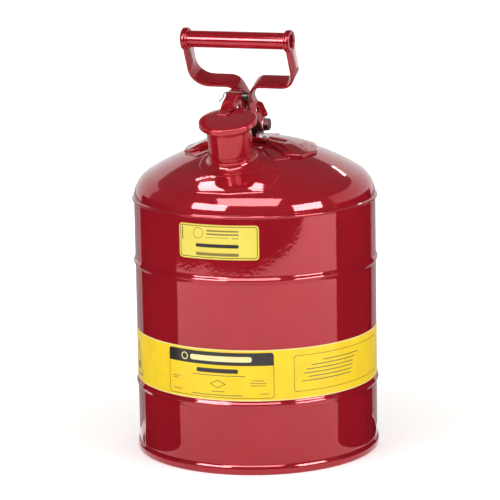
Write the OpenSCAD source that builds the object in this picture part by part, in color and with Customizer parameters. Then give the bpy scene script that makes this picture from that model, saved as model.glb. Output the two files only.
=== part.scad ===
// Type I safety can: a round steel can with a domed top, a self-closing spout
// lid on a sprung arm, a flame arrester and a swinging carrying handle.
// +Z is up, -Y is the pouring side, and the origin is the centre of the base.

/* [Can body] */
// Outer radius of the plain wall
body_r = 146.5; // [140:0.5:150]
// Thickness of the sheet steel of wall, dome and base
sheet = 1.2; // [0.8:0.1:1.5]
// Height of the top edge of the wall
body_top = 302.5; // [298:0.5:308]
// Height of the lower rolled bead
lower_bead_z = 84.5; // [70:0.5:88]
// Height of the upper rolled bead
upper_bead_z = 234; // [200:0.5:250]
// How far a rolled bead stands out
bead_out = 1.9; // [1:0.1:3]
// Largest radius of the base rim and of the dome seam
rim_r = 149; // [148:0.5:150]
// Height of the recessed base above the floor
base_lift = 7.5; // [6:0.5:8]

/* [Dome] */
// Radius of the shallow crown
crown_r = 240; // [235:1:245]
// Radius of the knuckle between crown and wall
knuckle_r = 36.5; // [34:0.5:38]
// Height of the centre of the knuckle
knuckle_z = 310.5; // [308.5:0.5:312.5]

/* [Spout] */
// Outer radius of the spout tube
spout_r = 26.5; // [25:0.5:28]
// Thickness of the spout tube
spout_wall = 1.5; // [1:0.1:2]
// Forward lean of the spout in degrees
spout_lean = 15; // [13:1:16]
// Distance from the can's axis forward to the middle of the spout mouth
spout_y = 89; // [86:1:91]
// Height of the middle of the lid rim
spout_z = 414.5; // [412.5:0.5:416.5]
// Outer radius of the funnel lip
lip_r = 32; // [30:0.5:33]
// Outer radius of the mounting flange on the dome
flange_r = 39.5; // [38:0.5:42]

/* [Lid] */
// Outer radius of the lid
lid_r = 34.5; // [34:0.5:36]
// Depth of the lid rim below its middle
lid_depth = 7; // [6:0.5:8]
// Sideways place of the lid arm
arm_x = -7; // [-7.5:0.5:-6.5]
// Outer width of the lid arm
arm_w = 16.2; // [16:0.1:16.6]
// Distance from the can's axis forward to the lid hinge
hinge_y = 41; // [41:0.5:42]
// Height of the lid hinge
hinge_z = 436.5; // [436:0.5:437]
// Radius of the lid hinge pin
hinge_pin_r = 2.5; // [2.3:0.1:2.6]

/* [Handle] */
// Height of the handle pivot
pivot_z = 396.5; // [396.5:0.5:397.5]
// Distance from the can's axis back to the handle pivot
pivot_y = 3; // [3:0.5:4]
// Forward lean of the handle at rest in degrees
handle_lean = 26.6; // [25:0.2:26.6]
// Distance from the pivot to the middle of the grip
grip_reach = 121; // [118:1:126]
// Half the outer width of the handle strap
strap_half = 66; // [62:1:68]
// Width of the strap steel from front to back
strap_w = 25; // [22:1:25]
// Thickness of the strap steel
strap_t = 3; // [2.8:0.1:3]
// Outer radius of the grip tube
grip_r = 10; // [9:0.5:11]
// Radius of the handle bolt
bolt_r = 4; // [3.5:0.5:4.5]

/* [Labels] */
// Lower edge of the wide band
band_z0 = 90.1; // [90.1:0.2:92.1]
// Upper edge of the wide band
band_z1 = 151.9; // [145.9:0.2:157.9]
// Lower edge of the small label
plate_z0 = 259.5; // [251.5:1:261.5]
// Upper edge of the small label
plate_z1 = 299.5; // [291.5:1:299.5]
// Angle that the small label spans
plate_span = 39; // [30:1:45]

/* [Hidden] */
$fn = 96;
far = 400;
label_t = 0.25;
crown_drop = crown_r - knuckle_r;
knuckle_x = body_r - knuckle_r;
crown_z = knuckle_z - sqrt(crown_drop * crown_drop - knuckle_x * knuckle_x);
crown_angle = asin(knuckle_x / crown_drop);
rolled_red = [0.64, 0.11, 0.16];
zinc = [0.78, 0.79, 0.80];
dark_steel = [0.25, 0.24, 0.25];
brass = [0.72, 0.60, 0.34];
rubber = [0.08, 0.08, 0.08];
lip_z = -lid_depth - 0.3;
platform_z = crown_z + crown_r + 3.4;
bracket_half = 6.3;
screw_x = [-18.2, 15];
screw_y = 19;
yoke_half = 8.6;
leg_out = 12;
bracket_t = 2.5;
arm_t = 1.5;

// Points of an arc about c, from angle a to angle b.
function arc(c, r, a, b, n) =
    [for (i = [0 : n]) [c[0] + r * cos(a + (b - a) * i / n), c[1] + r * sin(a + (b - a) * i / n)]];

// A smooth rolled bead that stands out of radius r, listed upwards.
function bead(r, z, out, half, n) =
    [for (i = [0 : n]) [r + out * (1 + cos(180 * (2 * i / n - 1))) / 2, z + half * (2 * i / n - 1)]];

function wall_line(r) = concat(
    [[r, base_lift + sheet]],
    bead(r, lower_bead_z, bead_out, 5.5, 14),
    bead(r, upper_bead_z, bead_out, 5.5, 14),
    [[r, body_top]]
);

function reversed(p) = [for (i = [len(p) - 1 : -1 : 0]) p[i]];

// Upper half of the dome's section, from the axis out to the wall, moved in by d.
function dome_line(d) = concat(
    arc([0, crown_z], crown_r - d, 90, 90 - crown_angle, 18),
    arc([knuckle_x, knuckle_z], knuckle_r - d, 90 - crown_angle, 0, 16)
);

module at_spout() {
    translate([0, -spout_y, spout_z])
        rotate([spout_lean, 0, 0])
            children();
}

// The frame that is square to the dome where the spout meets it.
module at_flange() {
    translate([0, 0, crown_z])
        rotate([18.4, 0, 0])
            translate([0, 0, crown_r])
                children();
}

module at_handle() {
    translate([0, pivot_y, pivot_z])
        rotate([handle_lean, 0, 0])
            children();
}

module x_rod(r, x0, x1, y = 0, z = 0) {
    translate([x0, y, z])
        rotate([0, 90, 0])
            cylinder(r = r, h = x1 - x0);
}

// A plate in the plane across X, drawn as (y, z) points.
module x_plate(x0, x1) {
    translate([x0, 0, 0])
        rotate([90, 0, 90])
            linear_extrude(x1 - x0)
                children();
}

module hex(across, h) {
    cylinder(r = across / sqrt(3), h = h, $fn = 6);
}

// ---- can ----

module body_shell() {
    color(rolled_red)
        rotate_extrude($fn = 128)
            polygon(concat(wall_line(body_r), reversed(wall_line(body_r - sheet))));
}

module bottom_pan() {
    color(rolled_red)
        rotate_extrude($fn = 128)
            polygon(concat(
                [[0, base_lift], [137, base_lift]],
                arc([137, base_lift - 4], 4, 90, 0, 5),
                [[141.6, 1.2], [143, 0]],
                [[147, 0]],
                arc([rim_r - 2.4, 2.4], 2.4, -70, 0, 5),
                [[rim_r, 6], [rim_r - 0.5, 9], [body_r + 0.6, 12], [body_r, 12]],
                [[body_r, base_lift + sheet], [0, base_lift + sheet]]
            ));
}

module top_dome() {
    color(rolled_red)
        difference() {
            rotate_extrude($fn = 128)
                polygon(concat(
                    dome_line(0),
                    arc([rim_r - 2.2, knuckle_z + 0.4], 2.2, 60, -20, 5),
                    [[body_r + 0.8, knuckle_z - 11], [body_r, knuckle_z - 11]],
                    [[body_r, body_top], [body_r - sheet, body_top]],
                    reversed(dome_line(sheet))
                ));
            at_spout()
                translate([0, 0, -110])
                    cylinder(r = spout_r, h = 110);
        }
}

// The underside follows the dome, so the profile is drawn about the dome's centre.
module spout_flange() {
    foot = spout_r + 0.8;
    fillet = 7;
    edge = asin(flange_r / crown_r);
    color(rolled_red)
        difference() {
            at_flange()
                rotate_extrude()
                    polygon(concat(
                        [[0, 5.2], [foot, 5.2]],
                        arc([foot + fillet, 5.2], fillet, 180, 262, 8),
                        [[flange_r - 1.2, -2.3], [flange_r, -2.8]],
                        arc([0, -crown_r], crown_r, 90 - edge, 90, 12)
                    ));
            at_spout()
                translate([0, 0, -110])
                    cylinder(r = spout_r, h = 200);
        }
}

// Local Z runs out of the spout; the lip flares just under the lid.
module spout_tube() {
    inner = spout_r - spout_wall;
    color(rolled_red)
        at_spout()
            rotate_extrude()
                polygon([
                    [inner, -60], [spout_r, -60], [spout_r, lip_z - 8.5],
                    [spout_r + 0.8, lip_z - 6.5], [lip_r - 0.7, lip_z - 1.6], [lip_r, lip_z - 0.8],
                    [lip_r - 0.2, lip_z], [lip_r - 2, lip_z], [inner, lip_z - 6.5],
                ]);
}

// ---- flame arrester inside the spout ----

module screen_cup(r, floor_z) {
    t = 0.6;
    rotate_extrude()
        polygon([
            [0, floor_z], [r, floor_z], [r, -20], [r - t, -20],
            [r - t, floor_z + t], [0, floor_z + t],
        ]);
}

module arrester_collar() {
    inner = spout_r - spout_wall;
    color(zinc)
        at_spout()
            rotate_extrude()
                polygon([
                    [inner, -27], [inner, -17], [19.3, -17], [19.3, -20], [21.5, -20], [23.6, -21], [23.6, -27],
                ]);
}

module arrester_outer_screen() {
    color(brass)
        at_spout()
            screen_cup(21.5, -104);
}

module arrester_inner_screen() {
    color(brass)
        at_spout()
            screen_cup(19.9, -102);
}

// ---- saddle on the dome ----

// Right half of an outline, front to back, made whole by its mirror image.
function mirrored(p) = concat(p, [for (i = [len(p) - 1 : -1 : 0]) [-p[i][0], p[i][1]]]);

module saddle_area(grow) {
    polygon(mirrored([
        [22, -25 - grow], [35, -33 - grow], [43, -38 - grow], [53, -46 - grow], [62, -49 - grow],
        [75 + grow, -39 - grow], [83 + grow, -8], [78 + grow, 10], [68 + grow / 2, 31 + grow],
        [50, 31 + grow], [22, 24 + grow],
    ]));
}

// A sheet that follows the dome, between two radii from the crown's centre.
module domed_sheet(r0, r1) {
    intersection() {
        translate([0, 0, crown_z + 150])
            linear_extrude(140)
                children();
        translate([0, 0, crown_z])
            difference() {
                sphere(r = r1, $fn = 200);
                sphere(r = r0, $fn = 200);
            }
    }
}

module pad_area() {
    polygon(mirrored([[31, -49], [49, -66], [64, -52], [77, -32], [80, 4], [68, 34], [46, 40]]));
}

module dome_pad() {
    color(rolled_red)
        difference() {
            domed_sheet(crown_r, crown_r + 1)
                pad_area();
            at_flange()
                translate([0, 0, -20])
                    cylinder(r = flange_r + 0.4, h = 40);
        }
}

module saddle_slots() {
    for (s = [-1, 1]) {
        translate([s * 36.5, -20.5])
            square([17, 6.4], center = true);
        for (x = [28, 45])
            translate([s * x, -20.5])
                circle(r = 3.2, $fn = 24);
    }
}

module saddle_ridge() {
    for (s = [-1, 1])
        scale([s, 1])
            polygon([
                [23.9, -31], [38, -32], [46, -34], [58, -43.5], [64, -42], [67, -20],
                [65, 3], [61, 4], [60, -15], [46, -3], [36, -7], [23.9, -12],
            ]);
}

module at_screws() {
    for (x = screw_x)
        translate([x, -screw_y, 0])
            children();
}

module saddle_plate() {
    color(rolled_red)
        difference() {
            union() {
                domed_sheet(crown_r + 2.4, crown_r + 4.2)
                    saddle_area(0);
                domed_sheet(crown_r + 1.05, crown_r + 4.2)
                    difference() {
                        saddle_area(0);
                        saddle_area(-2.2);
                    }
                domed_sheet(crown_r + 3, crown_r + 6.6)
                    difference() {
                        saddle_ridge();
                        saddle_slots();
                    }
                translate([-24, -25, platform_z - 2.3])
                    cube([48, 49, 2.3]);
            }
            translate([-23.9, -40, platform_z])
                cube([47.8, 80, 20]);
            at_screws()
                translate([0, 0, platform_z - 20])
                    cylinder(r = 3, h = 30, $fn = 32);
        }
}

module saddle_screws() {
    color(zinc)
        at_screws() {
            translate([0, 0, platform_z - 1.2])
                cylinder(r = 2.95, h = 3.2, $fn = 32);
            translate([0, 0, platform_z + 2])
                cylinder(r = 4.8, h = 0.8, $fn = 32);
            translate([0, 0, platform_z + 2.8])
                hex(8, 3.6);
        }
}

// ---- brackets ----

// The two cheeks of a bracket, each t thick, with their outer faces at +-half.
module cheeks(half, t) {
    for (x = [-half, half - t])
        x_plate(x, x + t)
            children();
}

module handle_yoke() {
    color(rolled_red)
        difference() {
            union() {
                translate([-yoke_half, -9, platform_z])
                    cube([2 * yoke_half, 22, 2.2]);
                cheeks(yoke_half, bracket_t) {
                    translate([pivot_y, pivot_z])
                        circle(r = 10);
                    polygon([
                        [-9, platform_z], [13, platform_z], [13, platform_z + 4],
                        [pivot_y + 9.9, pivot_z - 1], [pivot_y, pivot_z + 5], [pivot_y - 9.9, pivot_z - 1],
                        [-9, platform_z + 4],
                    ]);
                }
            }
            x_rod(bolt_r + 0.05, -20, 20, pivot_y, pivot_z);
        }
}

module hinge_bracket() {
    color(rolled_red)
        difference() {
            union() {
                translate([-23.4, -27, platform_z])
                    cube([44.4, 17.6, 2]);
                translate([arm_x, 0, 0])
                    cheeks(bracket_half, bracket_t) {
                        translate([-hinge_y, hinge_z])
                            circle(r = 5.8);
                        polygon([
                            [-27, platform_z], [-9.4, platform_z], [-10.5, platform_z + 6], [-23, hinge_z - 30],
                            [-36.4, hinge_z - 4], [-40, hinge_z + 5], [-46.6, hinge_z - 1], [-44, hinge_z - 14],
                            [-33, hinge_z - 38], [-27, platform_z + 6],
                        ]);
                    }
                translate([arm_x - bracket_half, -37.3, hinge_z - 30])
                    cube([2 * bracket_half, 2.2, 10]);
            }
            x_rod(hinge_pin_r + 0.05, -20, 20, -hinge_y, hinge_z);
            at_screws()
                translate([0, 0, platform_z - 20])
                    cylinder(r = 3, h = 30, $fn = 32);
        }
}

// ---- handle pivot ----

washer_t = 1.6;
head_x = leg_out + washer_t;

module handle_bolt() {
    color(zinc)
        translate([0, pivot_y, pivot_z]) {
            x_rod(bolt_r, -head_x - 9, head_x);
            translate([head_x, 0, 0])
                rotate([0, 90, 0])
                    hex(14, 6);
            x_rod(5, head_x + 6, head_x + 6.5);
        }
}

module handle_bolt_washers() {
    color(zinc)
        translate([0, pivot_y, pivot_z])
            for (x = [leg_out, -head_x])
                difference() {
                    x_rod(8.6, x, x + washer_t);
                    x_rod(bolt_r + 0.02, x - 1, x + washer_t + 1);
                }
}

module handle_bolt_nut() {
    color(zinc)
        translate([-head_x - 6.6, pivot_y, pivot_z])
            difference() {
                rotate([0, 90, 0])
                    hex(14, 6.6);
                x_rod(bolt_r + 0.02, -1, 9);
            }
}

module pivot_sleeve() {
    half = yoke_half - bracket_t;
    color(zinc)
        translate([0, pivot_y, pivot_z])
            difference() {
                x_rod(6.5, -half, half);
                x_rod(bolt_r + 0.02, -half - 1, half + 1);
            }
}

// ---- lid hinge ----

module lid_hinge_pin() {
    color(zinc)
        translate([0, -hinge_y, hinge_z]) {
            x_rod(hinge_pin_r, arm_x - 12, arm_x + 16);
            x_rod(4, arm_x + 16, arm_x + 17.4);
        }
}

module hinge_pin_clip() {
    color(zinc)
        translate([0, -hinge_y, hinge_z])
            difference() {
                x_rod(4.6, arm_x - 11.4, arm_x - 10.2);
                x_rod(hinge_pin_r + 0.02, arm_x - 13, arm_x - 9);
            }
}

spring_r = 4.2;
spring_wire = 0.8;
spring_turns = 3.25;
spring_x0 = arm_x + 9.2;
spring_x1 = arm_x + 15;
cheek_x = arm_x + bracket_half;
function coil_point(i, n) = [
    spring_x0 + (spring_x1 - spring_x0) * i / n,
    -hinge_y + spring_r * cos(90 - 360 * spring_turns * i / n),
    hinge_z + spring_r * sin(90 - 360 * spring_turns * i / n),
];
coil_n = 45;
spring_path = concat(
    [
        [arm_x - 13, -76, hinge_z - 4], [arm_x - 12, -60, hinge_z + 1.5],
        [arm_x - 9, -53, hinge_z + 6.5], [spring_x0 + 0.2, -50, hinge_z + 7],
    ],
    [for (i = [0 : coil_n]) coil_point(i, coil_n)],
    [
        [spring_x1 - 0.5, -36.6, hinge_z - 8], [cheek_x + 4, -29, hinge_z - 20],
        [cheek_x + 1.5, -24.4, hinge_z - 25.4], [cheek_x - 3, -24.2, hinge_z - 26],
    ]
);

module wire(path, r) {
    for (i = [0 : len(path) - 2])
        hull() {
            translate(path[i])
                sphere(r = r, $fn = 8);
            translate(path[i + 1])
                sphere(r = r, $fn = 8);
        }
}

module lid_spring() {
    color(dark_steel)
        wire(spring_path, spring_wire);
}

// ---- lid ----

// Side view of the arm's top face as (y, z) points, hinge end first: two steps
// down, then a foot that lies on the lid behind its middle.
arm_line = [
    [-38, 444.1], [-44, 444.3], [-50, 441.3], [-60.5, 433.9], [-63.5, 433.1], [-72, 425.7],
];
foot_end = 7;
foot_y = -spout_y + foot_end * cos(spout_lean);
foot_z = spout_z + 4.4 + foot_end * sin(spout_lean);

module arm_side() {
    polygon(concat(
        arm_line,
        [[-73.5, 424.3], [-73.5, 422.9], [-66, 424.1], [-54, 433.5], [-46, 431.5], [-39, 430.1], [-36.6, 436.5]]
    ));
}

module arm_top() {
    polygon(concat(
        arm_line,
        [[-74.5, 423.7], [foot_y, foot_z]],
        [[foot_y, foot_z - 1.5], [-74.9, 422.3], [-72.6, 424.1]],
        [[-63.9, 431.4], [-60.9, 432.2], [-50.3, 439.8], [-44, 442.7], [-38, 442.5]]
    ));
}

module at_rivets() {
    at_spout()
        for (x = [-4.5, 4.5])
            translate([arm_x + x, 10.5, 0])
                children();
}

module lid_arm() {
    half = arm_w / 2;
    color(rolled_red)
        difference() {
            translate([arm_x, 0, 0]) {
                x_plate(-half, half)
                    arm_top();
                x_plate(-half, arm_t - half)
                    arm_side();
                x_plate(half - arm_t, half)
                    arm_side();
            }
            x_rod(hinge_pin_r + 0.05, arm_x - 20, arm_x + 20, -hinge_y, hinge_z);
            at_rivets()
                cylinder(r = 1.25, h = 12, $fn = 32);
        }
}

module lid_cap() {
    color(rolled_red)
        at_spout()
            rotate_extrude()
                polygon(concat(
                    [[0, 3], [14, 2.9], [24, 2.5]],
                    arc([lid_r - 3.4, -1], 3.4, 75, 0, 6),
                    arc([lid_r - 2, -lid_depth + 2], 2, 0, -90, 4),
                    [[lid_r - 2.6, -lid_depth + 0.5], [lid_r - 2.6, -3], [0, -3]]
                ));
}

module lid_gasket() {
    color(rubber)
        at_spout()
            translate([0, 0, -lid_depth])
                difference() {
                    cylinder(r = lid_r - 2.8, h = 3.9);
                    translate([0, 0, -1])
                        cylinder(r = 22, h = 6);
                }
}

module gasket_retainer() {
    color(zinc)
        at_spout()
            difference() {
                rotate_extrude()
                    polygon([
                        [0, -5.5], [21.9, -5.5], [21.9, -7], [24, -7], [24, -7.6], [22, -9], [0, -9],
                    ]);
                translate([0, 0, -20])
                    cylinder(r = 2.5, h = 30, $fn = 32);
            }
}

module gasket_screw() {
    color(zinc)
        at_spout() {
            translate([0, 0, -9])
                cylinder(r = 2.48, h = 5.9, $fn = 32);
            translate([0, 0, -11.4])
                cylinder(r = 4.6, h = 2.4, $fn = 32);
        }
}

module lid_rivets() {
    color(rolled_red)
        at_rivets() {
            translate([0, 0, 3.1])
                cylinder(r = 1.2, h = 1.8, $fn = 32);
            translate([0, 0, 4.8])
                cylinder(r = 1.9, h = 0.9, $fn = 32);
        }
}

// ---- handle ----

// One half of the strap in the handle's own plane, as (x, z): an arm, a bend, the
// lower band, a bend down to the waist, and a leg that spreads out over the yoke.
bend_left = 23;
bend_right = 17;
shoulder_r = 15.5;
shoulder_turn = 68;
band_z = 62.5;
waist_z = 36;
waist_x = 0;
foot_top = 9;

// A closed outline: down the outside from the eye to the foot, then back up inside.
function strap_outline(bend) =
    let (
        band_low = band_z - strap_t / 2,
        c = cos(shoulder_turn),
        s = sin(shoulder_turn),
        inner_r = shoulder_r - strap_t,
        shoulder_z = band_low + strap_t - shoulder_r,
        run = (shoulder_z + inner_r * c - waist_z) / s,
        shoulder_x = waist_x + strap_t / s + run * c + inner_r * s,
        corner = [strap_half - bend, band_low + bend],
        shoulder = [shoulder_x, shoulder_z]
    )
    concat(
        [[strap_half - strap_t, grip_reach + strap_w / 2], [strap_half, grip_reach + strap_w / 2]],
        arc(corner, bend, 0, -90, 12),
        arc(shoulder, inner_r, 90, 90 + shoulder_turn, 10),
        [[waist_x + strap_t, waist_z], [waist_x + strap_t, waist_z - 3], [leg_out, foot_top]],
        [[leg_out, -12], [leg_out - strap_t, -12], [leg_out - strap_t, foot_top]],
        [[waist_x, waist_z - 3], [waist_x, waist_z]],
        arc(shoulder, shoulder_r, 90 + shoulder_turn, 90, 10),
        arc(corner, bend - strap_t, -90, 0, 12)
    );

module strap_side() {
    half = strap_w / 2;
    translate([0, grip_reach])
        circle(r = half + 1);
    translate([-half, 30])
        square([strap_w, grip_reach - 30]);
    polygon([[-half, 30], [-8.9, 1], [8.9, 1], [half, 30]]);
    circle(r = 9);
}

// A plate in the plane across Y, drawn as (x, z) points.
module front_plate(side) {
    translate([0, far / 2, 0])
        rotate([90, 0, 0])
            linear_extrude(far)
                scale([side, 1])
                    children();
}

// The back edge of a leg is folded outwards to stiffen it.
module leg_fold(side) {
    intersection() {
        front_plate(side)
            polygon([
                [leg_out - 1, 6], [leg_out + 3.5, 6], [leg_out + 5, 8], [leg_out + 5, 10],
                [leg_out - 0.5, 24], [leg_out - 5.5, 26], [leg_out - 7.4, 26], [leg_out - 1, foot_top],
            ]);
        x_plate(-80, 80)
            polygon([[7.1, 6], [9.5, 6], [12, 26], [9.6, 26]]);
    }
}

// side is 1 for the strap on +X and -1 for the one on -X.
module strap(side, bend) {
    color(rolled_red)
        at_handle()
            difference() {
                union() {
                    intersection() {
                        front_plate(side)
                            polygon(strap_outline(bend));
                        x_plate(-80, 80)
                            strap_side();
                    }
                    leg_fold(side);
                }
                x_rod(bolt_r + 0.05, -leg_out - 1, leg_out + 1);
                x_rod(3.4, -leg_out, leg_out, 0, 20.5);
                x_rod(2.5, -5, 5, 0, waist_z - 1.5);
                for (x = [waist_x + strap_t, -15])
                    x_rod(4.05, x, x + 12, 0, waist_z - 1.5);
                x_rod(grip_r + 0.02, -80, 80, 0, grip_reach);
            }
}

module right_handle_strap() {
    strap(1, bend_right);
}

module left_handle_strap() {
    strap(-1, bend_left);
}

module waist_rivet() {
    outer = waist_x + strap_t;
    color(rolled_red)
        at_handle()
            translate([0, 0, waist_z - 1.5]) {
                x_rod(2.48, -outer, outer);
                x_rod(4, outer, outer + 1.4);
                x_rod(4, -outer - 1.4, -outer);
            }
}

// The tube runs through both arms and is flared outside them.
module grip_tube() {
    half = strap_half;
    color(rolled_red)
        at_handle()
            translate([0, 0, grip_reach])
                rotate([0, 90, 0])
                    rotate_extrude()
                        difference() {
                            polygon([
                                [0, -half - 2], [grip_r + 2.4, -half - 2], [grip_r + 3.2, -half - 1],
                                [grip_r + 2.4, -half - 0.02], [grip_r, -half - 0.02],
                                [grip_r, half + 0.02], [grip_r + 2.4, half + 0.02],
                                [grip_r + 3.2, half + 1], [grip_r + 2.4, half + 2], [0, half + 2],
                            ]);
                            translate([0, -half - 3])
                                square([grip_r - 2, 2 * half + 6]);
                        }
}

module grip_collars() {
    color(rolled_red)
        at_handle()
            translate([0, 0, grip_reach])
                rotate([0, 90, 0])
                    for (s = [-1, 1])
                        rotate_extrude()
                            translate([0, s > 0 ? strap_half - strap_t - 2.4 : strap_t - strap_half])
                                polygon([
                                    [grip_r + 0.02, 0], [grip_r + 2.2, 0], [grip_r + 3, 0.8],
                                    [grip_r + 3, 1.6], [grip_r + 2.2, 2.4], [grip_r + 0.02, 2.4],
                                ]);
}

// ---- labels ----

module label_ring(z0, z1) {
    translate([0, 0, z0])
        difference() {
            cylinder(r = body_r + label_t, h = z1 - z0, $fn = 128);
            translate([0, 0, -1])
                cylinder(r = body_r, h = z1 - z0 + 2, $fn = 128);
        }
}

module band_label() {
    color([1, 0.85, 0.1])
        label_ring(band_z0, band_z1);
}

module spec_label() {
    reach = 200;
    half = plate_span / 2;
    color([1, 0.9, 0.3])
        intersection() {
            label_ring(plate_z0, plate_z1);
            translate([0, 0, plate_z0 - 1])
                linear_extrude(plate_z1 - plate_z0 + 2)
                    polygon([[0, 0], [-reach * sin(half), -reach * cos(half)], [reach * sin(half), -reach * cos(half)]]);
        }
}

body_shell();
bottom_pan();
top_dome();
spout_flange();
spout_tube();
arrester_collar();
arrester_outer_screen();
arrester_inner_screen();
dome_pad();
saddle_plate();
saddle_screws();
handle_yoke();
hinge_bracket();
handle_bolt();
handle_bolt_washers();
handle_bolt_nut();
pivot_sleeve();
lid_hinge_pin();
hinge_pin_clip();
lid_spring();
lid_arm();
lid_cap();
lid_rivets();
lid_gasket();
gasket_retainer();
gasket_screw();
left_handle_strap();
right_handle_strap();
waist_rivet();
grip_tube();
grip_collars();
band_label();
spec_label();
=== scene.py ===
"""Look model of a round steel safety can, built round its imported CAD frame."""

from math import asin, cos, degrees, floor, hypot, pi, radians, sin, sqrt, tan

import bmesh
import bpy
from mathutils import Matrix, Vector


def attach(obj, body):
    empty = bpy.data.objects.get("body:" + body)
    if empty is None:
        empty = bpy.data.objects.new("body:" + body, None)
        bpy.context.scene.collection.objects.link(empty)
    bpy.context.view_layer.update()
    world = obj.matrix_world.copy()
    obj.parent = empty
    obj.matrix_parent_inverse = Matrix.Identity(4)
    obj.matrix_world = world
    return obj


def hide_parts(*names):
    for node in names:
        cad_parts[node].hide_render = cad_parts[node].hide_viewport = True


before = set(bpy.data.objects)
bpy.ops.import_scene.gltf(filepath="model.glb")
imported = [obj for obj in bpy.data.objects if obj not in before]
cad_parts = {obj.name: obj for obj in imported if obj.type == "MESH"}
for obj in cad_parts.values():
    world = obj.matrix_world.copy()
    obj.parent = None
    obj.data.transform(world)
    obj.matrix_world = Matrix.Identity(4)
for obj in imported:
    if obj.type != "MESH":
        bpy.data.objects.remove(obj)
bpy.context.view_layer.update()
MM = 0.001
scene = bpy.context.scene


def link_object(name, data):
    made = bpy.data.objects.new(name, data)
    scene.collection.objects.link(made)
    return made


def to_mesh(name, bm):
    """Writes a drawing into a new mesh and lets the drawing go."""
    data = bpy.data.meshes.new(name)
    bm.to_mesh(data)
    bm.free()
    return data


# ---- sizes shared with the CAD model, in millimetres ----
WALL_R = 146.5
BASE_LIFT = 7.5
RIM_R = 149.0
CROWN_R = 240.0
KNUCKLE_R = 36.5
KNUCKLE_Z = 310.5
KNUCKLE_X = WALL_R - KNUCKLE_R
CROWN_DROP = CROWN_R - KNUCKLE_R
CROWN_Z = KNUCKLE_Z - sqrt(CROWN_DROP**2 - KNUCKLE_X**2)
CROWN_ANGLE = degrees(asin(KNUCKLE_X / CROWN_DROP))
BEADS = (84.5, 234.0)
BEAD_OUT = 1.9
BEAD_HALF = 5.5
SPOUT_R = 26.5
SPOUT_Y, SPOUT_Z, SPOUT_LEAN = 89.0, 414.5, 15.0
LIP_R = 32.0
FLANGE_R = 39.5
FLANGE_TILT = 18.4
LID_R = 34.5
ARM_X, ARM_W, ARM_T = -7.0, 16.2, 1.5
HINGE = Vector((0.0, -41.0, 436.5))
PIN_R = 2.5
PIVOT = Vector((0.0, 3.0, 396.5))
LEAN = 26.6
GRIP_REACH = 121.0
GRIP_R = 10.0
STRAP_HALF, STRAP_W, STRAP_T = 66.0, 25.0, 3.0
BOLT_R = 4.0
PLATFORM_Z = CROWN_Z + CROWN_R + 3.4
SCREW_X = (-18.2, 15.0)
YOKE_HALF, LEG_OUT = 8.6, 12.0
BRACKET_HALF, BRACKET_T = 6.3, 2.5
BAND_Z = (90.1, 151.9)
SPEC_AZ = (-17.4, 21.5)
SCREW_Y = -19.0

# ---- sizes of the look model only, in millimetres ----
SHEET_T = 1.2
WALL_TOP = 307.2
HEM_R, HEM_Z = 1.9, 309.7
LID_RIM = 5.3
SPEC_Z = (259.5, 300.6)
SEAM_HALF, SEAM_RISE, SEAM_EDGE = 3.0, 0.55, 1.2
FILM_TOP = 0.25
PRINT_LIFT = 0.27
INK_T = 0.05

# ---- camera ----
VIEW_TURN = radians(20.0)
VIEW_DOWN = 0.204289
VIEW_ROLL = -0.017656
VIEW_DIST = 3.1
LENS, SENSOR = 183.13, 36.0
TARGET = Vector((-0.006831, 0.0, 0.241505))


def make_camera():
    turn = Matrix.Rotation(VIEW_TURN, 3, "Z")
    back = Vector((0, -cos(VIEW_DOWN), sin(VIEW_DOWN)))
    right = Vector((1, 0, 0))
    up = Vector((0, sin(VIEW_DOWN), cos(VIEW_DOWN)))
    c, s = cos(VIEW_ROLL), sin(VIEW_ROLL)
    axes = [turn @ v for v in (c * right + s * up, -s * right + c * up, back)]
    place = Matrix(axes).transposed().to_4x4()
    place.translation = turn @ (TARGET + VIEW_DIST * back)
    data = bpy.data.cameras.new("camera")
    data.lens = LENS
    data.sensor_width = SENSOR
    data.clip_end = 50
    camera = link_object("camera", data)
    camera.matrix_world = place
    scene.camera = camera


make_camera()

# ---- materials ----


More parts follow.
